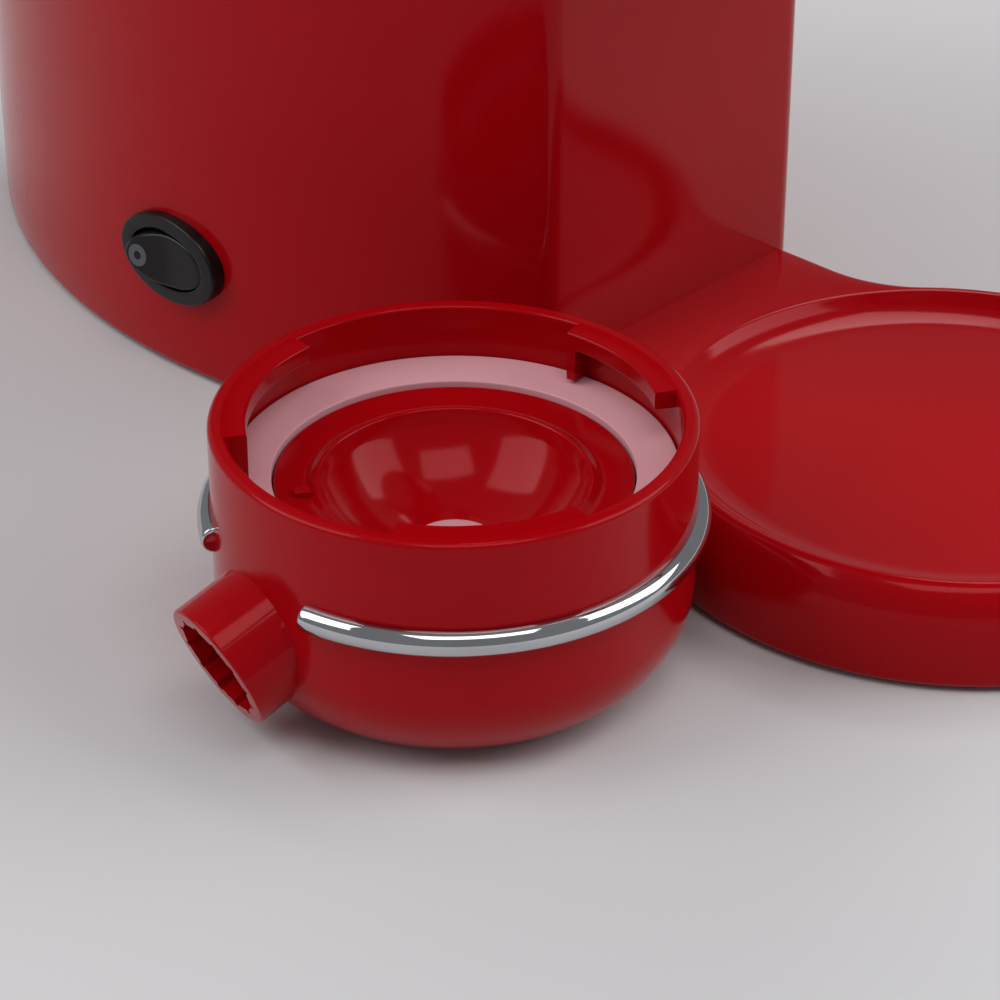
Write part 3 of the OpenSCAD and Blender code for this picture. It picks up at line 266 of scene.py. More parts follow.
def soften(obj, width, segments, limit):
    """Rounds the edges of a finished mesh that are sharper than limit degrees."""
    mod = obj.modifiers.new("edges", "BEVEL")
    mod.width = width
    mod.segments = segments
    mod.limit_method = "ANGLE"
    mod.angle_limit = math.radians(limit)
    mod.use_clamp_overlap = True
    mod.harden_normals = True


def block(name, low, high):
    """A plain box, used to add or cut."""
    x0, y0, z0 = low
    x1, y1, z1 = high
    verts = [(x, y, z) for x in (x0, x1) for y in (y0, y1) for z in (z0, z1)]
    faces = [(0, 1, 3, 2), (4, 6, 7, 5), (0, 4, 5, 1), (2, 3, 7, 6), (0, 2, 6, 4), (1, 5, 7, 3)]
    return solid(name, verts, faces)


def circle(radius, parts):
    """Points on a circle about the origin."""
    return [(radius * math.cos(a), radius * math.sin(a)) for a in angles(parts)]


def bar(name, start, axis, sections):
    """A bar along an axis from start, over (points, distance) sections."""
    turn = Vector(axis).to_track_quat("Z", "Y").to_matrix()
    rings = [[Vector(start) + turn @ Vector((x, y, z)) for x, y in points] for points, z in sections]
    return loft(name, rings)


def rod(name, start, axis, radius, length, parts=48, taper=0):
    """A round bar along an axis, used to add or cut."""
    sections = ((circle(radius, parts), 0), (circle(radius - taper, parts), length))
    return bar(name, start, axis, sections)


# ---------------------------------------------------------------- plans


def arc(cx, cy, r, start, end, parts):
    """Points on an arc, angles in radians, ends included."""
    turns = [start + (end - start) * i / parts for i in range(parts + 1)]
    return [(cx + r * math.cos(a), cy + r * math.sin(a)) for a in turns]


def body_plan(inset=0.0, front=None):
    """The oval of the body, drawn in by inset, from the right of its front round to the left.

    front moves the flat front back to that place and leaves its corners sharp.
    """
    flank = FLANK_R - inset
    seam = math.atan2(BACK_E, FLANK_C)
    right = []
    if front is None:
        lean = math.atan2(EDGE_CY - WAIST_Y, EDGE_CX + FLANK_C)
        right += arc(EDGE_CX, EDGE_CY, EDGE_R - inset, -math.pi / 2, lean, 8)
        first = lean
    else:
        first = math.asin((front - WAIST_Y) / flank)
    right += arc(-FLANK_C, WAIST_Y, flank, first, seam, 56)[0 if front is not None else 1 :]
    right += arc(0, BACK_CY, BACK_R - inset, seam, math.pi / 2, 26)[1:]
    left = [(-x, y) for x, y in right[:-1]][::-1]
    across = 12
    x0, y0 = left[-1]
    flat = [(x0 + (right[0][0] - x0) * i / across, y0) for i in range(1, across)]
    return right + left + flat


def front_line(x):
    """Where the front of the body lies at a place across it."""
    past = max(0.0, abs(x) - EDGE_CX)
    return EDGE_CY - math.sqrt(EDGE_R**2 - past**2)


def neck_plan(radius, half, fillet, inset=0.0):
    """A disc about the brew axis and its neck, half to either side, back to the body's front.

    fillet is the radius of the hollow corner where the neck leaves the disc.
    """
    fx = half + fillet
    fy = math.sqrt((radius + fillet) ** 2 - fx**2)
    lean = math.atan2(fy, fx)
    side = half - inset
    end = front_line(side)
    right = arc(0, 0, radius - inset, -math.pi / 2, lean, 72)
    right += arc(fx, fy, fillet + inset, math.pi + lean, math.pi, 16)[1:]
    right += [(side, fy + (end - fy) * k / 4) for k in range(1, 5)]
    across = 36
    xs = [side - 2 * side * i / across for i in range(1, across)]
    left = [(-x, y) for x, y in right[1:]][::-1]
    return right + [(x, front_line(x)) for x in xs] + left


def stand_plan(inset):
    """Plan of the cup stand and its neck."""
    return neck_plan(STAND_R, STAND_NECK, STAND_FILLET, inset)


def head_plan(inset):
    """Plan of the brew head and its neck."""
    return neck_plan(HEAD_R, HEAD_NECK, HEAD_FILLET, inset)


def at(plan, z):
    """A plan laid at a height."""
    return [Vector((x, y, z)) for x, y in plan]


def spread(plan, radius, z):
    """A circle whose points lie in the same directions as those of a plan."""
    ring = []
    for x, y in plan:
        d = math.hypot(x, y)
        ring.append(Vector((x / d * radius, y / d * radius, z)))
    return ring


def quarter(width, height, parts):
    """(inset, drop) pairs round an elliptical edge, from the side to the top."""
    pairs = []
    for i in range(parts + 1):
        a = math.pi / 2 * i / parts
        pairs.append((width * (1 - math.cos(a)), height * (1 - math.sin(a))))
    return pairs


def foot_rings(plan, low, foot, parts):
    """Rings of the rounded lower edge of a plan."""
    return [at(plan(i), low + z) for i, z in reversed(quarter(foot, foot, parts))]


# ---------------------------------------------------------------- materials

NOISE_LOW, NOISE_HIGH = 0.3, 0.7  # nearly all of a noise lies between these
RAMP_LOW, RAMP_HIGH = 0.35, 0.65


def material(name, color, rough, metallic=0.0, **sockets):
    """A principled material and its node tree, ready for its surface detail."""
    mat = bpy.data.materials.new(name)
    mat.use_nodes = True
    tree = mat.node_tree
    shader = tree.nodes["Principled BSDF"]
    shader.inputs["Base Color"].default_value = (*color, 1)
    shader.inputs["Roughness"].default_value = rough
    shader.inputs["Metallic"].default_value = metallic
    for socket, value in sockets.items():
        shader.inputs[socket.replace("_", " ")].default_value = value
    return mat, tree, shader


def noise(tree, scale, detail=3, stretch=(1, 1, 1)):
    """A noise in object space, scale in waves per metre."""
    where = tree.nodes.new("ShaderNodeTexCoord")
    move = tree.nodes.new("ShaderNodeMapping")
    move.inputs["Scale"].default_value = stretch
    tex = tree.nodes.new("ShaderNodeTexNoise")
    tex.inputs["Scale"].default_value = scale
    tex.inputs["Detail"].default_value = detail
    tree.links.new(where.outputs["Object"], move.inputs["Vector"])
    tree.links.new(move.outputs["Vector"], tex.inputs["Vector"])
    return tex.outputs["Fac"]


def remap(tree, value, low, high):
    """A noise spread over low..high."""
    node = tree.nodes.new("ShaderNodeMapRange")
    node.inputs["From Min"].default_value = NOISE_LOW
    node.inputs["From Max"].default_value = NOISE_HIGH
    node.inputs["To Min"].default_value = low
    node.inputs["To Max"].default_value = high
    tree.links.new(value, node.inputs["Value"])
    return node.outputs["Result"]


def tint(tree, value, low, high):
    """A colour between low and high by a noise."""
    ramp = tree.nodes.new("ShaderNodeValToRGB")
    ramp.color_ramp.elements[0].position = RAMP_LOW
    ramp.color_ramp.elements[0].color = (*low, 1)
    ramp.color_ramp.elements[1].position = RAMP_HIGH
    ramp.color_ramp.elements[1].color = (*high, 1)
    tree.links.new(value, ramp.inputs["Fac"])
    return ramp.outputs["Color"]


def bump(tree, shader, height, strength, depth):
    """A height as surface relief, depth in metres."""
    node = tree.nodes.new("ShaderNodeBump")
    node.inputs["Strength"].default_value = strength
    node.inputs["Distance"].default_value = depth
    tree.links.new(height, node.inputs["Height"])
    tree.links.new(node.outputs["Normal"], shader.inputs["Normal"])


def plastic(name, color, rough, grain=900, relief=0.00001, uneven=0.05, deep=0.94, **sockets):
    """Moulded plastic: slightly uneven colour and gloss, with a fine skin."""
    cloud, sheen = 18, 70
    mat, tree, shader = material(name, color, rough, **sockets)
    low = tuple(c * deep for c in color)
    tree.links.new(tint(tree, noise(tree, cloud, 4), low, color), shader.inputs["Base Color"])
    gloss = remap(tree, noise(tree, sheen, 5), rough - uneven, rough + uneven)
    tree.links.new(gloss, shader.inputs["Roughness"])
    bump(tree, shader, noise(tree, grain, 2), 0.35, relief)
    return mat


def metal(name, color, rough, stretch=(1, 1, 1), grain=600, relief=0.000006):
    """A metal whose gloss and skin vary along its working direction."""
    bright, dull, deep = 0.75, 1.3, 0.9
    mat, tree, shader = material(name, color, rough, 1.0)
    marks = noise(tree, grain, 3, stretch)
    tree.links.new(remap(tree, marks, rough * bright, rough * dull), shader.inputs["Roughness"])
    low = tuple(c * deep for c in color)
    tree.links.new(tint(tree, marks, low, color), shader.inputs["Base Color"])
    bump(tree, shader, marks, 0.3, relief)
    return mat


def clear_plastic(name, color, rough, density):
    """Clear tinted plastic."""
    cloud, sheen, grain = 12, 60, 400
    mat, tree, shader = material(name, color, rough, Transmission_Weight=1.0, IOR=1.49)
    gloss = remap(tree, noise(tree, sheen, 4), rough * 0.7, rough * 1.5)
    tree.links.new(gloss, shader.inputs["Roughness"])
    soft = tuple(min(1, c * density) for c in color)
    tree.links.new(tint(tree, noise(tree, cloud, 2), color, soft), shader.inputs["Base Color"])
    bump(tree, shader, noise(tree, grain, 2), 0.2, 0.00001)
    return mat


BLUSH = (1.0, 0.42, 0.45, 1)  # keeps the gloss of the red plastic from going white
GLOSS = {"Specular_IOR_Level": 0.27, "Specular_Tint": BLUSH}
SATIN = {"Specular_IOR_Level": 0.3, "Specular_Tint": BLUSH}
RED = plastic("red_abs", (0.40, 0.001, 0.004), 0.12, uneven=0.015, **GLOSS)
RED_DEEP = plastic("red_inner", (0.36, 0.001, 0.004), 0.3, **SATIN)
BLACK = plastic("black_gloss", (0.006, 0.005, 0.005), 0.26, uneven=0.03, Specular_IOR_Level=0.3)
MARK = plastic("mark_paint", (0.10, 0.10, 0.12), 0.5)
MATTE = plastic("black_matte", (0.022, 0.022, 0.024), 0.55, grain=1500, relief=0.00003)
RUBBER = plastic("black_rubber", (0.017, 0.017, 0.017), 0.72, grain=1200, relief=0.00003)
# the silicone is white; the pink in its colour is painted red light, cast on it by the red plastic around it
SILICONE = plastic(
    "white_silicone", (0.75, 0.39, 0.43), 0.42, grain=700, deep=0.96, Specular_IOR_Level=0.4
)
RED_SEAL = plastic("red_seal", (0.42, 0.05, 0.02), 0.6)
HOSE = plastic("hose", (0.60, 0.60, 0.57), 0.38, Transmission_Weight=0.25)
NYLON = plastic("white_nylon", (0.70, 0.70, 0.67), 0.45)
CERAMIC = plastic("beige_ceramic", (0.66, 0.57, 0.42), 0.6)
WIRE = plastic("wire_sleeve", (0.03, 0.045, 0.22), 0.4)
CHROME = metal("chrome", (0.55, 0.56, 0.58), 0.04, grain=60, relief=0.0)
STEEL = metal("steel", (0.56, 0.56, 0.58), 0.28, stretch=(1, 14, 1))
ZINC = metal("zinc", (0.60, 0.60, 0.57), 0.34)
ALUMINIUM = metal("cast_aluminium", (0.58, 0.58, 0.60), 0.42, grain=900, relief=0.00004)
BRASS = metal("brass", (0.60, 0.40, 0.15), 0.3)
SMOKED = clear_plastic("smoked_clear", (0.42, 0.42, 0.44), 0.06, 1.08)
AMBER = clear_plastic("amber_clear", (0.95, 0.32, 0.03), 0.1, 1.05)


def paint(obj, mat):
    """One material on an object."""
    obj.data.materials.clear()
    obj.data.materials.append(mat)


def piece(obj, mat, body, slot, *nodes):
    """A finished piece: its material, the body it rides on and the nodes it stands for."""
    paint(obj, mat)
    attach(obj, body)
    if nodes:
        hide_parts(*nodes)


# ---------------------------------------------------------------- body and stand


def tank_space(bottom):
    """A block over the place of the tank, from a height upwards, used to cut."""
    wide, far = 0.1, 0.3
    return block("cut", (-wide, TANK_Y - TANK_GAP, bottom), (wide, far, far))


def body_shell():
    """Oval shell of the body, open below and, above the tank's shelf, at the back."""
    low, high = BODY[0].z, BODY[1].z
    lip = 1.2 * MM
    levels = 40
    rise = high - low - lip
    rings = foot_rings(body_plan, low, lip, 4)
    rings += [at(body_plan(), low + lip + rise * k / levels) for k in range(1, levels + 1)]
    rings += [at(body_plan(WALL), high)]
    rings += [at(body_plan(WALL), low + (high - low) * k / 4) for k in (3, 2, 1, 0)]
    shell = loft("body", rings, closed=True)
    boolean(shell, tank_space(TANK[0].z - 0.3 * MM), "DIFFERENCE")
    for hole in (switch_hole, gland_bore, gland_seat):
        boolean(shell, hole(), "DIFFERENCE")
    piece(shell, RED, "machine", "red_shell", "body_shell")


def oval_ring(a, b, x, parts=72):
    """An oval ring about the switch in the plane of the flank, long along Y."""
    return [Vector((x, PIVOT[1] + a * math.cos(t), PIVOT[2] + b * math.sin(t))) for t in angles(parts)]


def switch_hole():
    """An oval bar through the flank where the switch sits, used to cut."""
    a, b = 10.1 * MM, 6.7 * MM
    ends = (HOUSING[0].x - 1 * MM, -HALF_W + 8 * MM)
    return loft("hole", [oval_ring(a, b, x, 64) for x in ends])


def gland_bore():
    """A bar through the back where the cord gland sits, used to cut."""
    mid = (GLAND[0].z + GLAND[1].z) / 2
    r, length, over = 6.2 * MM, 40 * MM, 5 * MM
    return rod("bore", (0, GLAND[0].y - over, mid), BACKWARD, r, length)


def gland_seat():
    """A bar that leaves a seat for the flange of the cord gland, used to cut."""
    mid = (GLAND[0].z + GLAND[1].z) / 2
    r, length, deep = 8.7 * MM, 20 * MM, 3 * MM
    return rod("seat", (0, GLAND[1].y - deep, mid), BACKWARD, r, length, 64)


def cup_stand():
    """Round stand with a soft dish, joined to the body by its neck."""
    low, high = STAND[0].z, STAND[1].z
    shoulder, fall = 4.4 * MM, 10 * MM
    foot, land, wall = 1.2 * MM, 1.6 * MM, 5.5 * MM
    roof = low + 8 * MM
    roof_r = 25 * MM
    floor_z = MOUNTS["cup_place"]["pos_m"][2]
    dish_r = 39.5 * MM
    cove = 11 * MM
    brim_drop = 0.42 * MM
    side = stand_plan(0)
    rings = [spread(side, POINT, roof), spread(side, roof_r, roof), at(stand_plan(wall), roof)]
    rings += [at(stand_plan(wall), low), at(stand_plan(land), low)]
    rings += foot_rings(stand_plan, low, foot, 5)[1:]
    rings += [at(stand_plan(i), high - z) for i, z in quarter(shoulder, fall, 16)]
    steep = math.acos(1 - (high - floor_z - brim_drop) / cove)
    brim = dish_r + cove * math.sin(steep)
    crest = STAND_R - shoulder - brim
    for share, drop in ((0.75, 0.02), (0.45, 0.12), (0.2, 0.26)):
        rings.append(spread(side, brim + crest * share, high - drop * MM))
    steps = 14
    for k in range(steps + 1):
        a = steep * (1 - k / steps)
        rings.append(spread(side, dish_r + cove * math.sin(a), floor_z + cove * (1 - math.cos(a))))
    rings += [spread(side, dish_r * share, floor_z) for share in (0.8, 0.55, 0.3, 0.12)]
    rings += [spread(side, POINT, floor_z)]
    stand = loft("stand", rings, caps=False, angle=38)
    piece(stand, RED, "machine", "red_shell", "cup_stand")


def head_shell():
    """Round brew head with its neck; its mouth is open below."""
    low, high = HEAD[0].z, HEAD[1].z
    mouth, throat = 41 * MM, 36 * MM
    shelf, roof = low + 3.5 * MM, low + 7 * MM
    flare, flare_h = 0.5 * MM, 0.6 * MM
    edge, edge_h = 2.4 * MM, 2.8 * MM
    levels = 12
    side = head_plan(0)
    rings = [spread(side, throat, roof), spread(side, throat, shelf), spread(side, mouth, shelf)]
    rings += [spread(side, mouth, low + flare_h), spread(side, mouth + flare, low)]
    rings += [at(head_plan(i), low + z) for i, z in reversed(quarter(edge, edge_h, 6))]
    rings += [at(side, low + (high - low) * k / levels) for k in range(1, levels + 1)]
    rings += [at(head_plan(WALL), high), at(head_plan(WALL), roof)]
    head = loft("head", rings, closed=True)
    piece(head, RED, "machine", "red_shell", "head_shell")


def crown(plan, low, high):
    """A closed solid over a plan, with a round top edge and a fine lower one."""
    rings = foot_rings(plan, low, 0.5 * MM, 2)
    rings += [at(plan(0), low + (high - CROWN_H - low) * k / 3) for k in (1, 2)]
    rings += [at(plan(i), high - z) for i, z in quarter(CROWN_W, CROWN_H, 9)]
    return loft("crown", rings)


def top_cover():
    """Cover over body and head, with a round top edge and holes for the button and the lens."""
    low, high = BODY[1].z, COVER[1].z
    button_hole_r, lens_hole_r = 12.2 * MM, 2.2 * MM
    start, length = low - 1 * MM, 60 * MM
    below = 0.1
    cover = crown(body_plan, low, high)
    boolean(cover, tank_space(below), "DIFFERENCE")
    boolean(cover, crown(head_plan, low, high), "UNION")
    boolean(cover, rod("hole", (0, 0, start), UP, button_hole_r, length, 96), "DIFFERENCE")
    boolean(cover, rod("hole", (0, LENS_Y, start), UP, lens_hole_r, length), "DIFFERENCE")
    cover.name = "cover"
    piece(cover, RED, "machine", "red_shell", "top_cover")


# ---------------------------------------------------------------- tank and lid


def tank_rings(levels):
    """Rings of the tank's plan at (z, inset, front) levels."""
    return [at(body_plan(inset, front), z) for z, inset, front in levels]


def water_tank():
    """Clear tank with its floor, valve hole and hinge ears."""
    low = TANK[0].z
    high = LID[0].z + 2.2 * MM
    wall, floor, cove, foot = 2.2 * MM, 3 * MM, 3 * MM, 1.6 * MM
    ear_h, valve_r, valve_h, below = 6 * MM, 5 * MM, 14 * MM, 4 * MM
    steps = 8
    levels = [(low + z, i, TANK_Y + i) for i, z in reversed(quarter(foot, foot, 4))]
    levels += [(low + (high - low) * k / steps, 0, TANK_Y) for k in range(1, steps + 1)]
    levels += [(high, wall, TANK_Y + wall), (low + floor + cove, wall, TANK_Y + wall)]
    levels += [(low + floor, wall + cove, TANK_Y + wall + cove)]
    tank = loft("tank", tank_rings(levels))
    for side in (-1, 1):
        boolean(tank, hinge_ear(side * EAR_X, high - ear_h), "UNION")
    valve = (0, (VALVE[0].y + VALVE[1].y) / 2, low - below)
    boolean(tank, rod("hole", valve, UP, valve_r, valve_h), "DIFFERENCE")
    tank.name = "tank"
    soften(tank, 0.5 * MM, 2, 50)
    piece(tank, SMOKED, "tank", "smoked_clear", "water_tank")


def hinge_ear(mid, low):
    """A hinge ear with a round head, down to a height."""
    r, half = 3.6 * MM, 2 * MM
    y, z = HINGE[1], HINGE[2]
    outline = arc(y, z, r, 0, math.pi, 16) + [(y - r, low), (y + r, low)]
    rings = [[Vector((mid + side * half, p, q)) for p, q in outline] for side in (-1, 1)]
    return loft("ear", rings)


def tank_lid():
    """Lid with a half-round front along its hinge and a slot for each ear."""
    low, high = LID[0].z + 2.5 * MM, LID[1].z
    r = high - HINGE[2]
    half, deep, over = 2.3 * MM, 8.3 * MM, 1 * MM
    levels = []
    steps = 16
    for k in range(steps + 1):
        z = low + (high - low) * k / steps
        rise = z - HINGE[2]
        front = HINGE[1] - math.sqrt(max(r * r - rise * rise, 0))
        drop = max(0.0, z - (high - CROWN_H)) / CROWN_H
        inset = CROWN_W * (1 - math.sqrt(max(0.0, 1 - drop * drop)))
        levels.append((z, inset, front))
    lid = loft("lid", tank_rings(levels))
    for side in (-1, 1):
        mid = side * EAR_X
        near, far = (mid - half, TANK_Y - over, low - over), (mid + half, TANK_Y + deep, high + over)
        boolean(lid, block("slot", near, far), "DIFFERENCE")
    lid.name = "lid"
    soften(lid, 0.35 * MM, 2, 50)
    piece(lid, RED, "lid", "red_shell", "tank_lid")


# ---------------------------------------------------------------- filter holder


def holder_cup():
    """Cup with its three ledges and stops, and the tilted stub with its toothed socket."""
    inner = SEAL_R + 0.2 * MM
    pip_turn, pip_r, pip_h, pip_drop = 86, 1.1 * MM, 3.4 * MM, 4 * MM
    cup = cup_wall(inner)
    boolean(cup, holder_stub(), "UNION")
    boolean(cup, socket_bar(), "DIFFERENCE")
    for start, turn in LEDGES:
        boolean(cup, ledge(inner, start, start + turn), "UNION")
    foot = HOLD + turned(HOLD_R, pip_turn, HOLD_H - pip_drop)
    boolean(cup, rod("pip", foot, UP, pip_r, pip_h, 24, 0.3 * MM), "UNION")
    cup.name = "holder"
    soften(cup, 0.3 * MM, 3, 40)
    piece(cup, RED, "holder", "red_shell", "holder_cup")


def cup_wall(inner):
    """The round cup, with a step that carries the dish and a chamber below it."""
    step_z = DISH[1].z - 2.9 * MM
    eye = 3 * MM
    corners = [
        (eye, 0, 0),
        (HOLD_R, 0, 15.5 * MM),
        (HOLD_R, HOLD_H, 0.9 * MM),
        (inner, HOLD_H, 0.6 * MM),
        (inner, step_z, 0.3 * MM),
        (CHAMBER_R, step_z, 0.5 * MM),
        (CHAMBER_R, CUP_FLOOR, 4 * MM),
        (eye, CUP_FLOOR, 0),
    ]
    return lathe("holder", rounded(corners, step=6), HOLD, 192, closed=True)


def holder_stub():
    """The stub: a round bar with a soft outer rim and a fine parting seam along it."""
    axis = Vector(SOCKET["axis"])
    mouth = Vector(SOCKET["pos_m"]) + axis * SOCKET_DEEP / 2
    flat = Vector((axis.x, axis.y, 0)).length
    out = (Vector((mouth.x, mouth.y, 0)) - HOLD).length / flat
    root_share = 0.875
    root = mouth - axis * (out - HOLD_R * root_share)
    length = (mouth - root).length
    path = rounded([(STUB_R, 0, 0), (STUB_R, length, 0.4 * MM), (0, length, 0)], step=15)
    stub = bar("stub", root, axis, [(circle(max(r, POINT), 96), z) for r, z in path])
    low = CUP_FLOOR + 4 * MM
    core = lathe("core", [(0, low), (CHAMBER_R, low), (CHAMBER_R, HOLD_H), (0, HOLD_H)], HOLD, 192)
    boolean(stub, core, "DIFFERENCE")
    up = (Vector(UP) - axis * axis.z).normalized()
    lean = math.radians(-38)
    aside = up * math.cos(lean) + axis.cross(up) * math.sin(lean)
    seam_r, sunk = 0.22 * MM, 0.12 * MM
    seam = rod("seam", root + aside * (STUB_R - sunk), axis, seam_r, length - 0.5 * MM, 12)
    return boolean(stub, seam, "UNION")


def socket_bar():
    """A bar with teeth along it, which leaves the toothed socket when it is cut away."""
    teeth, tooth, over = 12, 0.75 * MM, 2 * MM
    axis = Vector(SOCKET["axis"])
    radius = SOCKET["dims"]["r_mm"] * MM
    ring = []
    for i, a in enumerate(angles(teeth * 8)):
        r = radius + (tooth if i % 8 in (0, 1) else 0)
        ring.append((r * math.cos(a), r * math.sin(a)))
    start = Vector(SOCKET["pos_m"]) - axis * SOCKET_DEEP / 2
    return bar("socket", start, axis, ((ring, 0), (ring, SOCKET_DEEP + over)))


def ledge(wall, start, end):
    """A ledge below the rim whose last part reaches down to the seal as a stop."""
    stop_turn, jump, steps = 2.8, 0.02, 30
    stop = end - stop_turn
    inner, thick = 31.6 * MM, 3 * MM
    under = HOLD_H - thick
    foot = GASKET[1].z + SEAL_RISE + 0.2 * MM
    top = HOLD_H - 0.03 * MM
    wide = wall + 1 * MM
    stations = [(start + (stop - start) * k / steps, under) for k in range(steps + 1)]
    stations += [(stop + jump, foot)] + [(stop + (end - stop) * k / 4, foot) for k in range(1, 5)]
    rings = []
    for degrees, low in stations:
        corners = [(wide, low, 0), (wide, top, 0), (inner, top, 0.5 * MM), (inner, low, 0.3 * MM)]
        path = rounded(corners, closed=True, step=18)
        rings.append([HOLD + turned(r, degrees, z) for r, z in path])
    return loft("ledge", rings, angle=40)


def holder_ring():
    """Chrome wire ring with blunt ends."""
    tube = (RING[1].z - RING[0].z) / 2
    z = (RING[1].z + RING[0].z) / 2
    wide = math.degrees(0.35 * MM / HOLD_R)
    end = RING_START + RING_TURN
    steps = 160
    blunt, blunter = tube * 0.95, tube * 0.84
    turn = RING_TURN - 2 * wide
    stations = [(RING_START, blunter), (RING_START + wide * 0.35, blunt), (RING_START + wide, tube)]
    stations += [(RING_START + wide + turn * k / steps, tube) for k in range(1, steps + 1)]
    stations += [(end - wide * 0.35, blunt), (end, blunter)]
    rings = []
    for degrees, r in stations:
        rings.append([HOLD + turned(HOLD_R + x, degrees, z + y) for x, y in circle(r, 28)])
    piece(loft("ring", rings, angle=50), CHROME, "holder", "chrome", "holder_ring")


def ball_path(radius, reach):
    """(radius, z) points on a ball about the bowl's centre, from its foot up to an angle."""
    steps, eye = 30, 1.2 * MM
    path = []
    for k in range(steps + 1):
        a = reach * k / steps
        path.append((max(radius * math.sin(a), eye), BALL_Z - radius * math.cos(a)))
    return path


def filter_dish():
    """Deep round bowl with a raised lip, and a shallow trough from the lip to the seal."""
    base = GASKET[0].z - 1.2 * MM
    rim = 27.75 * MM
    lip = 20.2 * MM
    reach = math.asin(lip / BALL_R)
    edge = BALL_Z - BALL_R * math.cos(reach)
    corners = [
        (lip, edge, 0),
        (lip + 0.75 * MM, DISH_TOP + 0.5 * MM, 0.5 * MM),
        (lip + 2.6 * MM, DISH_TOP - 0.65 * MM, 1.8 * MM),
        (rim, DISH_TOP + 0.35 * MM, 0.3 * MM),
        (rim, GASKET[0].z, 0),
    ]
    outer = BALL_R + 1.2 * MM
    path = ball_path(BALL_R, reach) + rounded(corners, step=12)[1:]
    path += [(SEAL_R, GASKET[0].z), (SEAL_R, base)]
    path += reversed(ball_path(outer, math.acos((BALL_Z - base) / outer)))
    dish = lathe("dish", path, HOLD, 160, closed=True, angle=50)
    boolean(dish, dish_tab(), "UNION", 50)
    dish.name = "dish"
    soften(dish, 0.2 * MM, 2, 50)
    bowl_plug()
    piece(dish, RED, "holder", "red_shell", "filter_dish")


def dish_tab():
    """The small tab that stands in the trough of the dish."""
    low, high = DISH_TOP - 1.2 * MM, DISH_TOP + 0.5 * MM
    tab = block("tab", (-1 * MM, 22.4 * MM, low), (1 * MM, 24.8 * MM, high))
    tab.data.transform(Matrix.Translation(HOLD) @ Matrix.Rotation(math.radians(55), 4, "Z"))
    return tab


def bowl_plug():
    """White disc with a small hole, let into the bottom of the bowl."""
    hole, neck, wide = 1.3 * MM, 5 * MM, 7.2 * MM
    top = BALL_Z - math.sqrt(BALL_R**2 - wide**2) + 0.06 * MM
    low = top - 1.0 * MM
    soft = 0.12 * MM
    corners = [(hole, low, 0), (neck, low, 0), (wide, top, soft), (hole, top, soft)]
    path = rounded(corners, closed=True, step=20)
    plug = lathe("bowl_plug", path, HOLD, 96, closed=True, angle=50)
    piece(plug, SILICONE, "holder", "white_silicone")


def gasket():
    """White ring whose top rises a little from its inner to its outer edge."""
    inner = 28.05 * MM
    low, high = GASKET[0].z, GASKET[1].z
    corners = [
        (inner, low, 0.6 * MM),
        (SEAL_R, low, 0.2 * MM),
        (SEAL_R, high + SEAL_RISE, 0.3 * MM),
        (inner, high + 0.4 * MM, 0.35 * MM),
    ]
    path = rounded(corners, closed=True, step=15)
    ring = lathe("seal", path, HOLD, 160, closed=True, angle=60)
    piece(ring, SILICONE, "holder", "white_silicone", "gasket")


# ---------------------------------------------------------------- switch


def switch_housing():
    """Oval surround that swells from its edge up to the rocker's window."""
    face = HOUSING[0].x
    a = (HOUSING[1].y - HOUSING[0].y) / 2
    b = (HOUSING[1].z - HOUSING[0].z) / 2
    seat = -HALF_W + 1.1 * MM
    deep = -HALF_W + 12 * MM
    barrel, lip = 0.9 * MM, 0.25 * MM
    edge, edge_h, swell = 0.4 * MM, 0.7 * MM, 0.12 * MM
    crown_x = face + swell
    rings = [oval_ring(WINDOW_A + barrel, WINDOW_B + barrel, x) for x in (deep, seat)]
    rings += [oval_ring(a, b, seat)]
    rings += [oval_ring(a - i, b - i, crown_x + drop) for i, drop in quarter(edge, edge_h, 5)]
    steps = 7
    for k in range(1, steps + 1):
        t = k / steps
        inset_a = edge + (a - WINDOW_A - lip - edge) * t
        inset_b = edge + (b - WINDOW_B - lip - edge) * t
        rings.append(oval_ring(a - inset_a, b - inset_b, crown_x - swell * math.sin(t * math.pi / 2)))
    for out, x in ((0.06 * MM, face + 0.1 * MM), (0, face + 0.4 * MM), (0, deep - 1.5 * MM)):
        rings.append(oval_ring(WINDOW_A + out, WINDOW_B + out, x))
    housing = loft("switch_frame", rings, angle=40)
    piece(housing, BLACK, "machine", "black_gloss", "switch_housing")


def rocker_face(y):
    """How far the rocker's face stands out from its pivot, at a place along it."""
    low, rise = 3.5 * MM, 1.45 * MM
    bend, middle = 0.02, 0.14
    return low + rise * (math.sqrt((y / ROCKER_A) ** 2 + bend) - middle)


def rocker_ring(half_y, half_z, lift, mid=0.0, parts=72):
    """An oval ring lift millimetres above the face of the rocker, at rest."""
    turn = Matrix.Rotation(math.radians(ROCKER_REST), 4, "Z")
    points = []
    for t in angles(parts):
        y = mid + half_y * math.cos(t)
        place = Vector((-rocker_face(y) - lift * MM, y, half_z * math.sin(t)))
        points.append(Vector(PIVOT) + (turn @ place))
    return points


def rocker():
    """Rocker with two raised ends, at rest with its front end pressed in."""
    sides = ((0.8, -9.0), (1.0, -6.0), (1.0, -0.9), (0.985, -0.35), (0.95, -0.1), (0.9, 0.0))
    face = ((share, 0) for share in (0.8, 0.65, 0.5, 0.36, 0.22, 0.1, 0.001))
    rings = [rocker_ring(ROCKER_A * share, ROCKER_B * share, lift) for share, lift in (*sides, *face)]
    piece(loft("rocker", rings, angle=50), BLACK, "rocker", "black_gloss", "rocker")


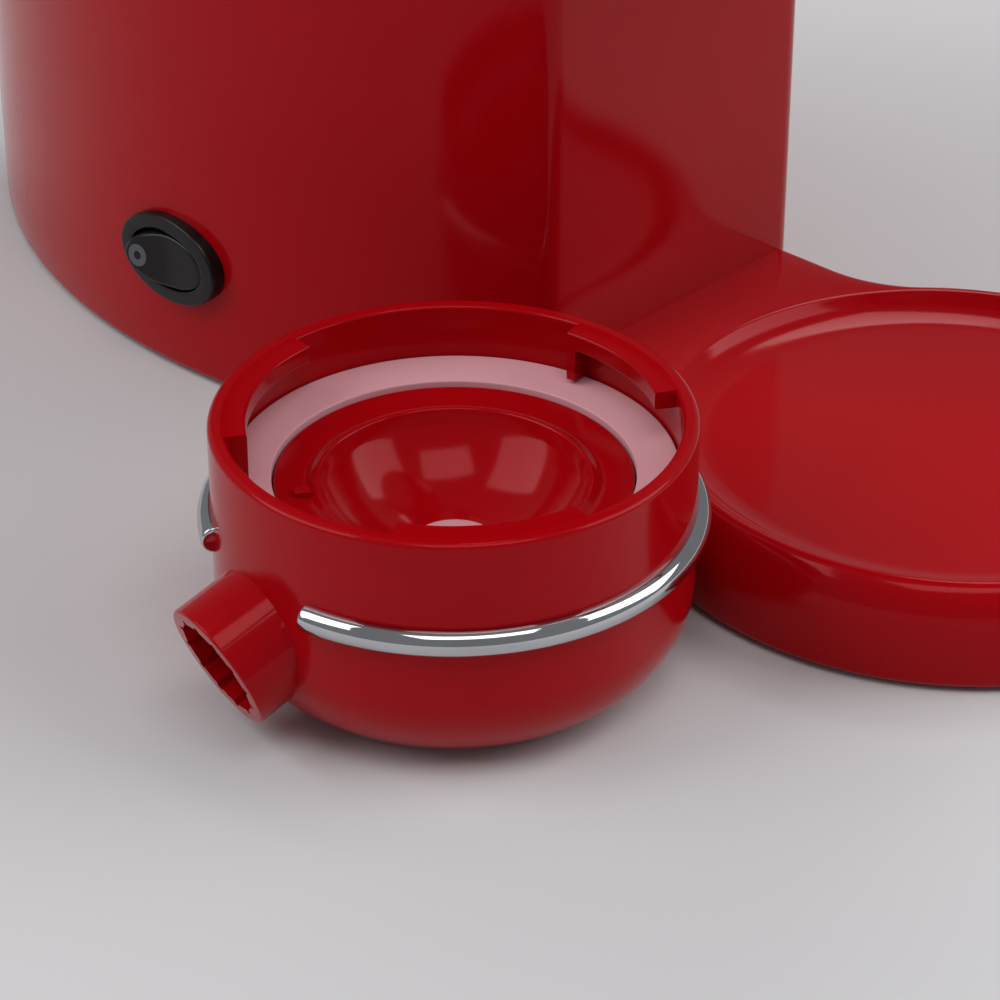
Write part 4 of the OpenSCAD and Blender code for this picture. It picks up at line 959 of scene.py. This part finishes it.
def rocker_mark():
    """The round off mark, printed on the raised end of the rocker."""
    squash, place = 0.8, 0.68
    strokes = ((0.85, -0.1), (0.85, 0.05), (2.2, 0.05), (2.2, -0.1))
    rings = [rocker_ring(squash * r * MM, r * MM, lift, place * ROCKER_A, 48) for r, lift in strokes]
    piece(loft("rocker_mark", rings, closed=True, angle=50), MARK, "rocker", "black_gloss")


# ---------------------------------------------------------------- button and lens


def brew_button():
    """Round button with a shallow finger dish."""
    low, high = BUTTON[0].z, BUTTON[1].z
    shelf, foot = low + 6.5 * MM, low + 5.6 * MM
    r, dip, flange = BUTTON_R, 0.8 * MM, 1 * MM
    steps = 8
    path = [(0, high - dip)]
    path += [(r * 0.8 * k / steps, high - dip * (1 - (k / steps) ** 2)) for k in range(1, steps + 1)]
    path += rounded([(r * 0.82, high, 0), (r, high, 1 * MM), (r, shelf, 0)], step=12)
    path += [(r + flange, shelf), (r + flange, foot), (0, foot)]
    piece(lathe("button", path, parts=96), RED, "button", "red_shell", "brew_button")


def button_bezel():
    """Chrome ring round the button, with a tube down into the cover."""
    foot, top = BEZEL[0].z, BEZEL[1].z
    wide = BEZEL[1].x
    inner, wall, brim = BUTTON_R + 0.3 * MM, 0.9 * MM, 1.2 * MM
    corners = [
        (inner, foot, 0),
        (inner, top, 0.5 * MM),
        (wide, top, 0.8 * MM),
        (wide, top - brim, 0),
        (inner + wall, top - brim, 0),
        (inner + wall, foot, 0),
    ]
    ring = lathe("button_ring", rounded(corners, step=12), parts=96, closed=True)
    piece(ring, CHROME, "machine", "chrome", "button_bezel")


def pilot_lens():
    """Amber lens with a flange under the cover."""
    low, high = LENS[0].z, LENS[1].z
    r, flange_r, flange = 2.1 * MM, 3.2 * MM, 1.2 * MM
    path = [(0, high)]
    path += rounded([(0.8 * MM, high, 0), (r, high, 0.4 * MM), (r, low + flange, 0)], step=15)
    path += [(flange_r, low + flange), (flange_r, low), (0, low)]
    piece(lathe("lens", path, (0, LENS_Y), 48), AMBER, "machine", "amber_clear", "pilot_lens")


# ---------------------------------------------------------------- nodes shown as the CAD has them

FINISH = {
    RED_DEEP: ("tank_bay",),
    MATTE: ("base_plate", "stand_sole", "tank_port", "pump_coil", "button_switch"),
    RUBBER: ("rear_feet", "stand_pad", "port_seal", "pump_collars", "cord_gland"),
    ZINC: (
        "base_screws",
        "sole_screws",
        "stand_screws",
        "head_screws",
        "boss_screws",
        "shower_screw",
        "boiler_screws",
        "cover_screws",
        "lid_pins",
    ),
    ALUMINIUM: ("bayonet_boss", "boiler_body", "boiler_lid"),
    STEEL: ("shower_plate", "pump_frame", "hose_clips", "tank_strainer"),
    BRASS: ("band_heater", "switch_terminals"),
    RED_SEAL: ("boiler_seal",),
    CERAMIC: ("thermostat", "thermal_fuse"),
    NYLON: ("pump_tube", "terminal_block", "tank_valve"),
    HOSE: ("suction_hose", "pressure_hose"),
    WIRE: ("leads",),
}


def finish_nodes():
    """The finish of every CAD node that is shown as it is."""
    for mat, names in FINISH.items():
        for name in names:
            paint(frame["nodes"][name], mat)


# ---------------------------------------------------------------- stage

# name, azimuth from +X round to +Y and elevation in degrees, width and height, radiance, roll
LAMPS = (
    ("back", 18, 60, 0.70, 0.80, 4.2, 0),
    ("left", 142, 42, 1.25, 1.25, 2.6, 45),
    ("right", 316, 38, 1.25, 1.25, 2.6, 45),
    ("front", 235, 66, 1.15, 0.72, 2.6, 0),
)
LAMP_REACH = 1.8
LAMP_AIM = (-0.04, 0.03, 0.02)
CAMERA_PLACE = (-0.4047, -0.2818, 0.3012)
CAMERA_TILT, CAMERA_TURN = 58.57, -46.4
CAMERA_LENS, CAMERA_SENSOR = 122.4, 36


def pale_floor():
    """A plain pale floor, far wider than the picture."""
    mat, tree, shader = material("floor", (0.66, 0.66, 0.67), 0.6, Specular_IOR_Level=0.2)
    shade = tint(tree, noise(tree, 3, 3), (0.65, 0.65, 0.66), (0.67, 0.67, 0.68))
    tree.links.new(shade, shader.inputs["Base Color"])
    mesh = bpy.data.meshes.new("floor")
    size = 6.0
    corners = [(-size, -size, 0), (size, -size, 0), (size, size, 0), (-size, size, 0)]
    mesh.from_pydata(corners, [], [(0, 1, 2, 3)])
    obj = link("floor", mesh)
    paint(obj, mat)


def studio():
    """Even light from all round."""
    world = bpy.data.worlds.new("studio")
    scene.world = world
    world.use_nodes = True
    back = world.node_tree.nodes["Background"]
    back.inputs["Color"].default_value = (0.95, 0.97, 1.0, 1)
    back.inputs["Strength"].default_value = 0.25


def lamp(name, azimuth, elevation, wide, tall, radiance, roll):
    """A soft box, aimed at the filter holder and the stand."""
    data = bpy.data.lights.new(name, "AREA")
    data.shape = "RECTANGLE"
    data.size = wide
    data.size_y = tall
    data.energy = radiance * math.pi * wide * tall
    level = math.radians(elevation)
    out = turned(math.cos(level), azimuth, math.sin(level))
    obj = link(name, data)
    obj.location = Vector(LAMP_AIM) + out * LAMP_REACH
    spin = Matrix.Rotation(math.radians(roll), 4, "Z")
    obj.rotation_euler = ((-out).to_track_quat("-Z", "Y").to_matrix().to_4x4() @ spin).to_euler()


def photo_camera():
    """The camera, at the photograph's viewing angle."""
    data = bpy.data.cameras.new("camera")
    data.lens = CAMERA_LENS
    data.sensor_width = CAMERA_SENSOR
    data.clip_start = 0.01
    view = link("camera", data)
    view.location = CAMERA_PLACE
    view.rotation_euler = (math.radians(CAMERA_TILT), 0, math.radians(CAMERA_TURN))
    scene.camera = view


# ---------------------------------------------------------------- build

scene.view_settings.view_transform = "Standard"
pale_floor()
studio()
for setting in LAMPS:
    lamp(*setting)
photo_camera()
body_shell()
cup_stand()
head_shell()
top_cover()
water_tank()
tank_lid()
holder_cup()
holder_ring()
filter_dish()
gasket()
switch_housing()
rocker()
rocker_mark()
brew_button()
button_bezel()
pilot_lens()
finish_nodes()
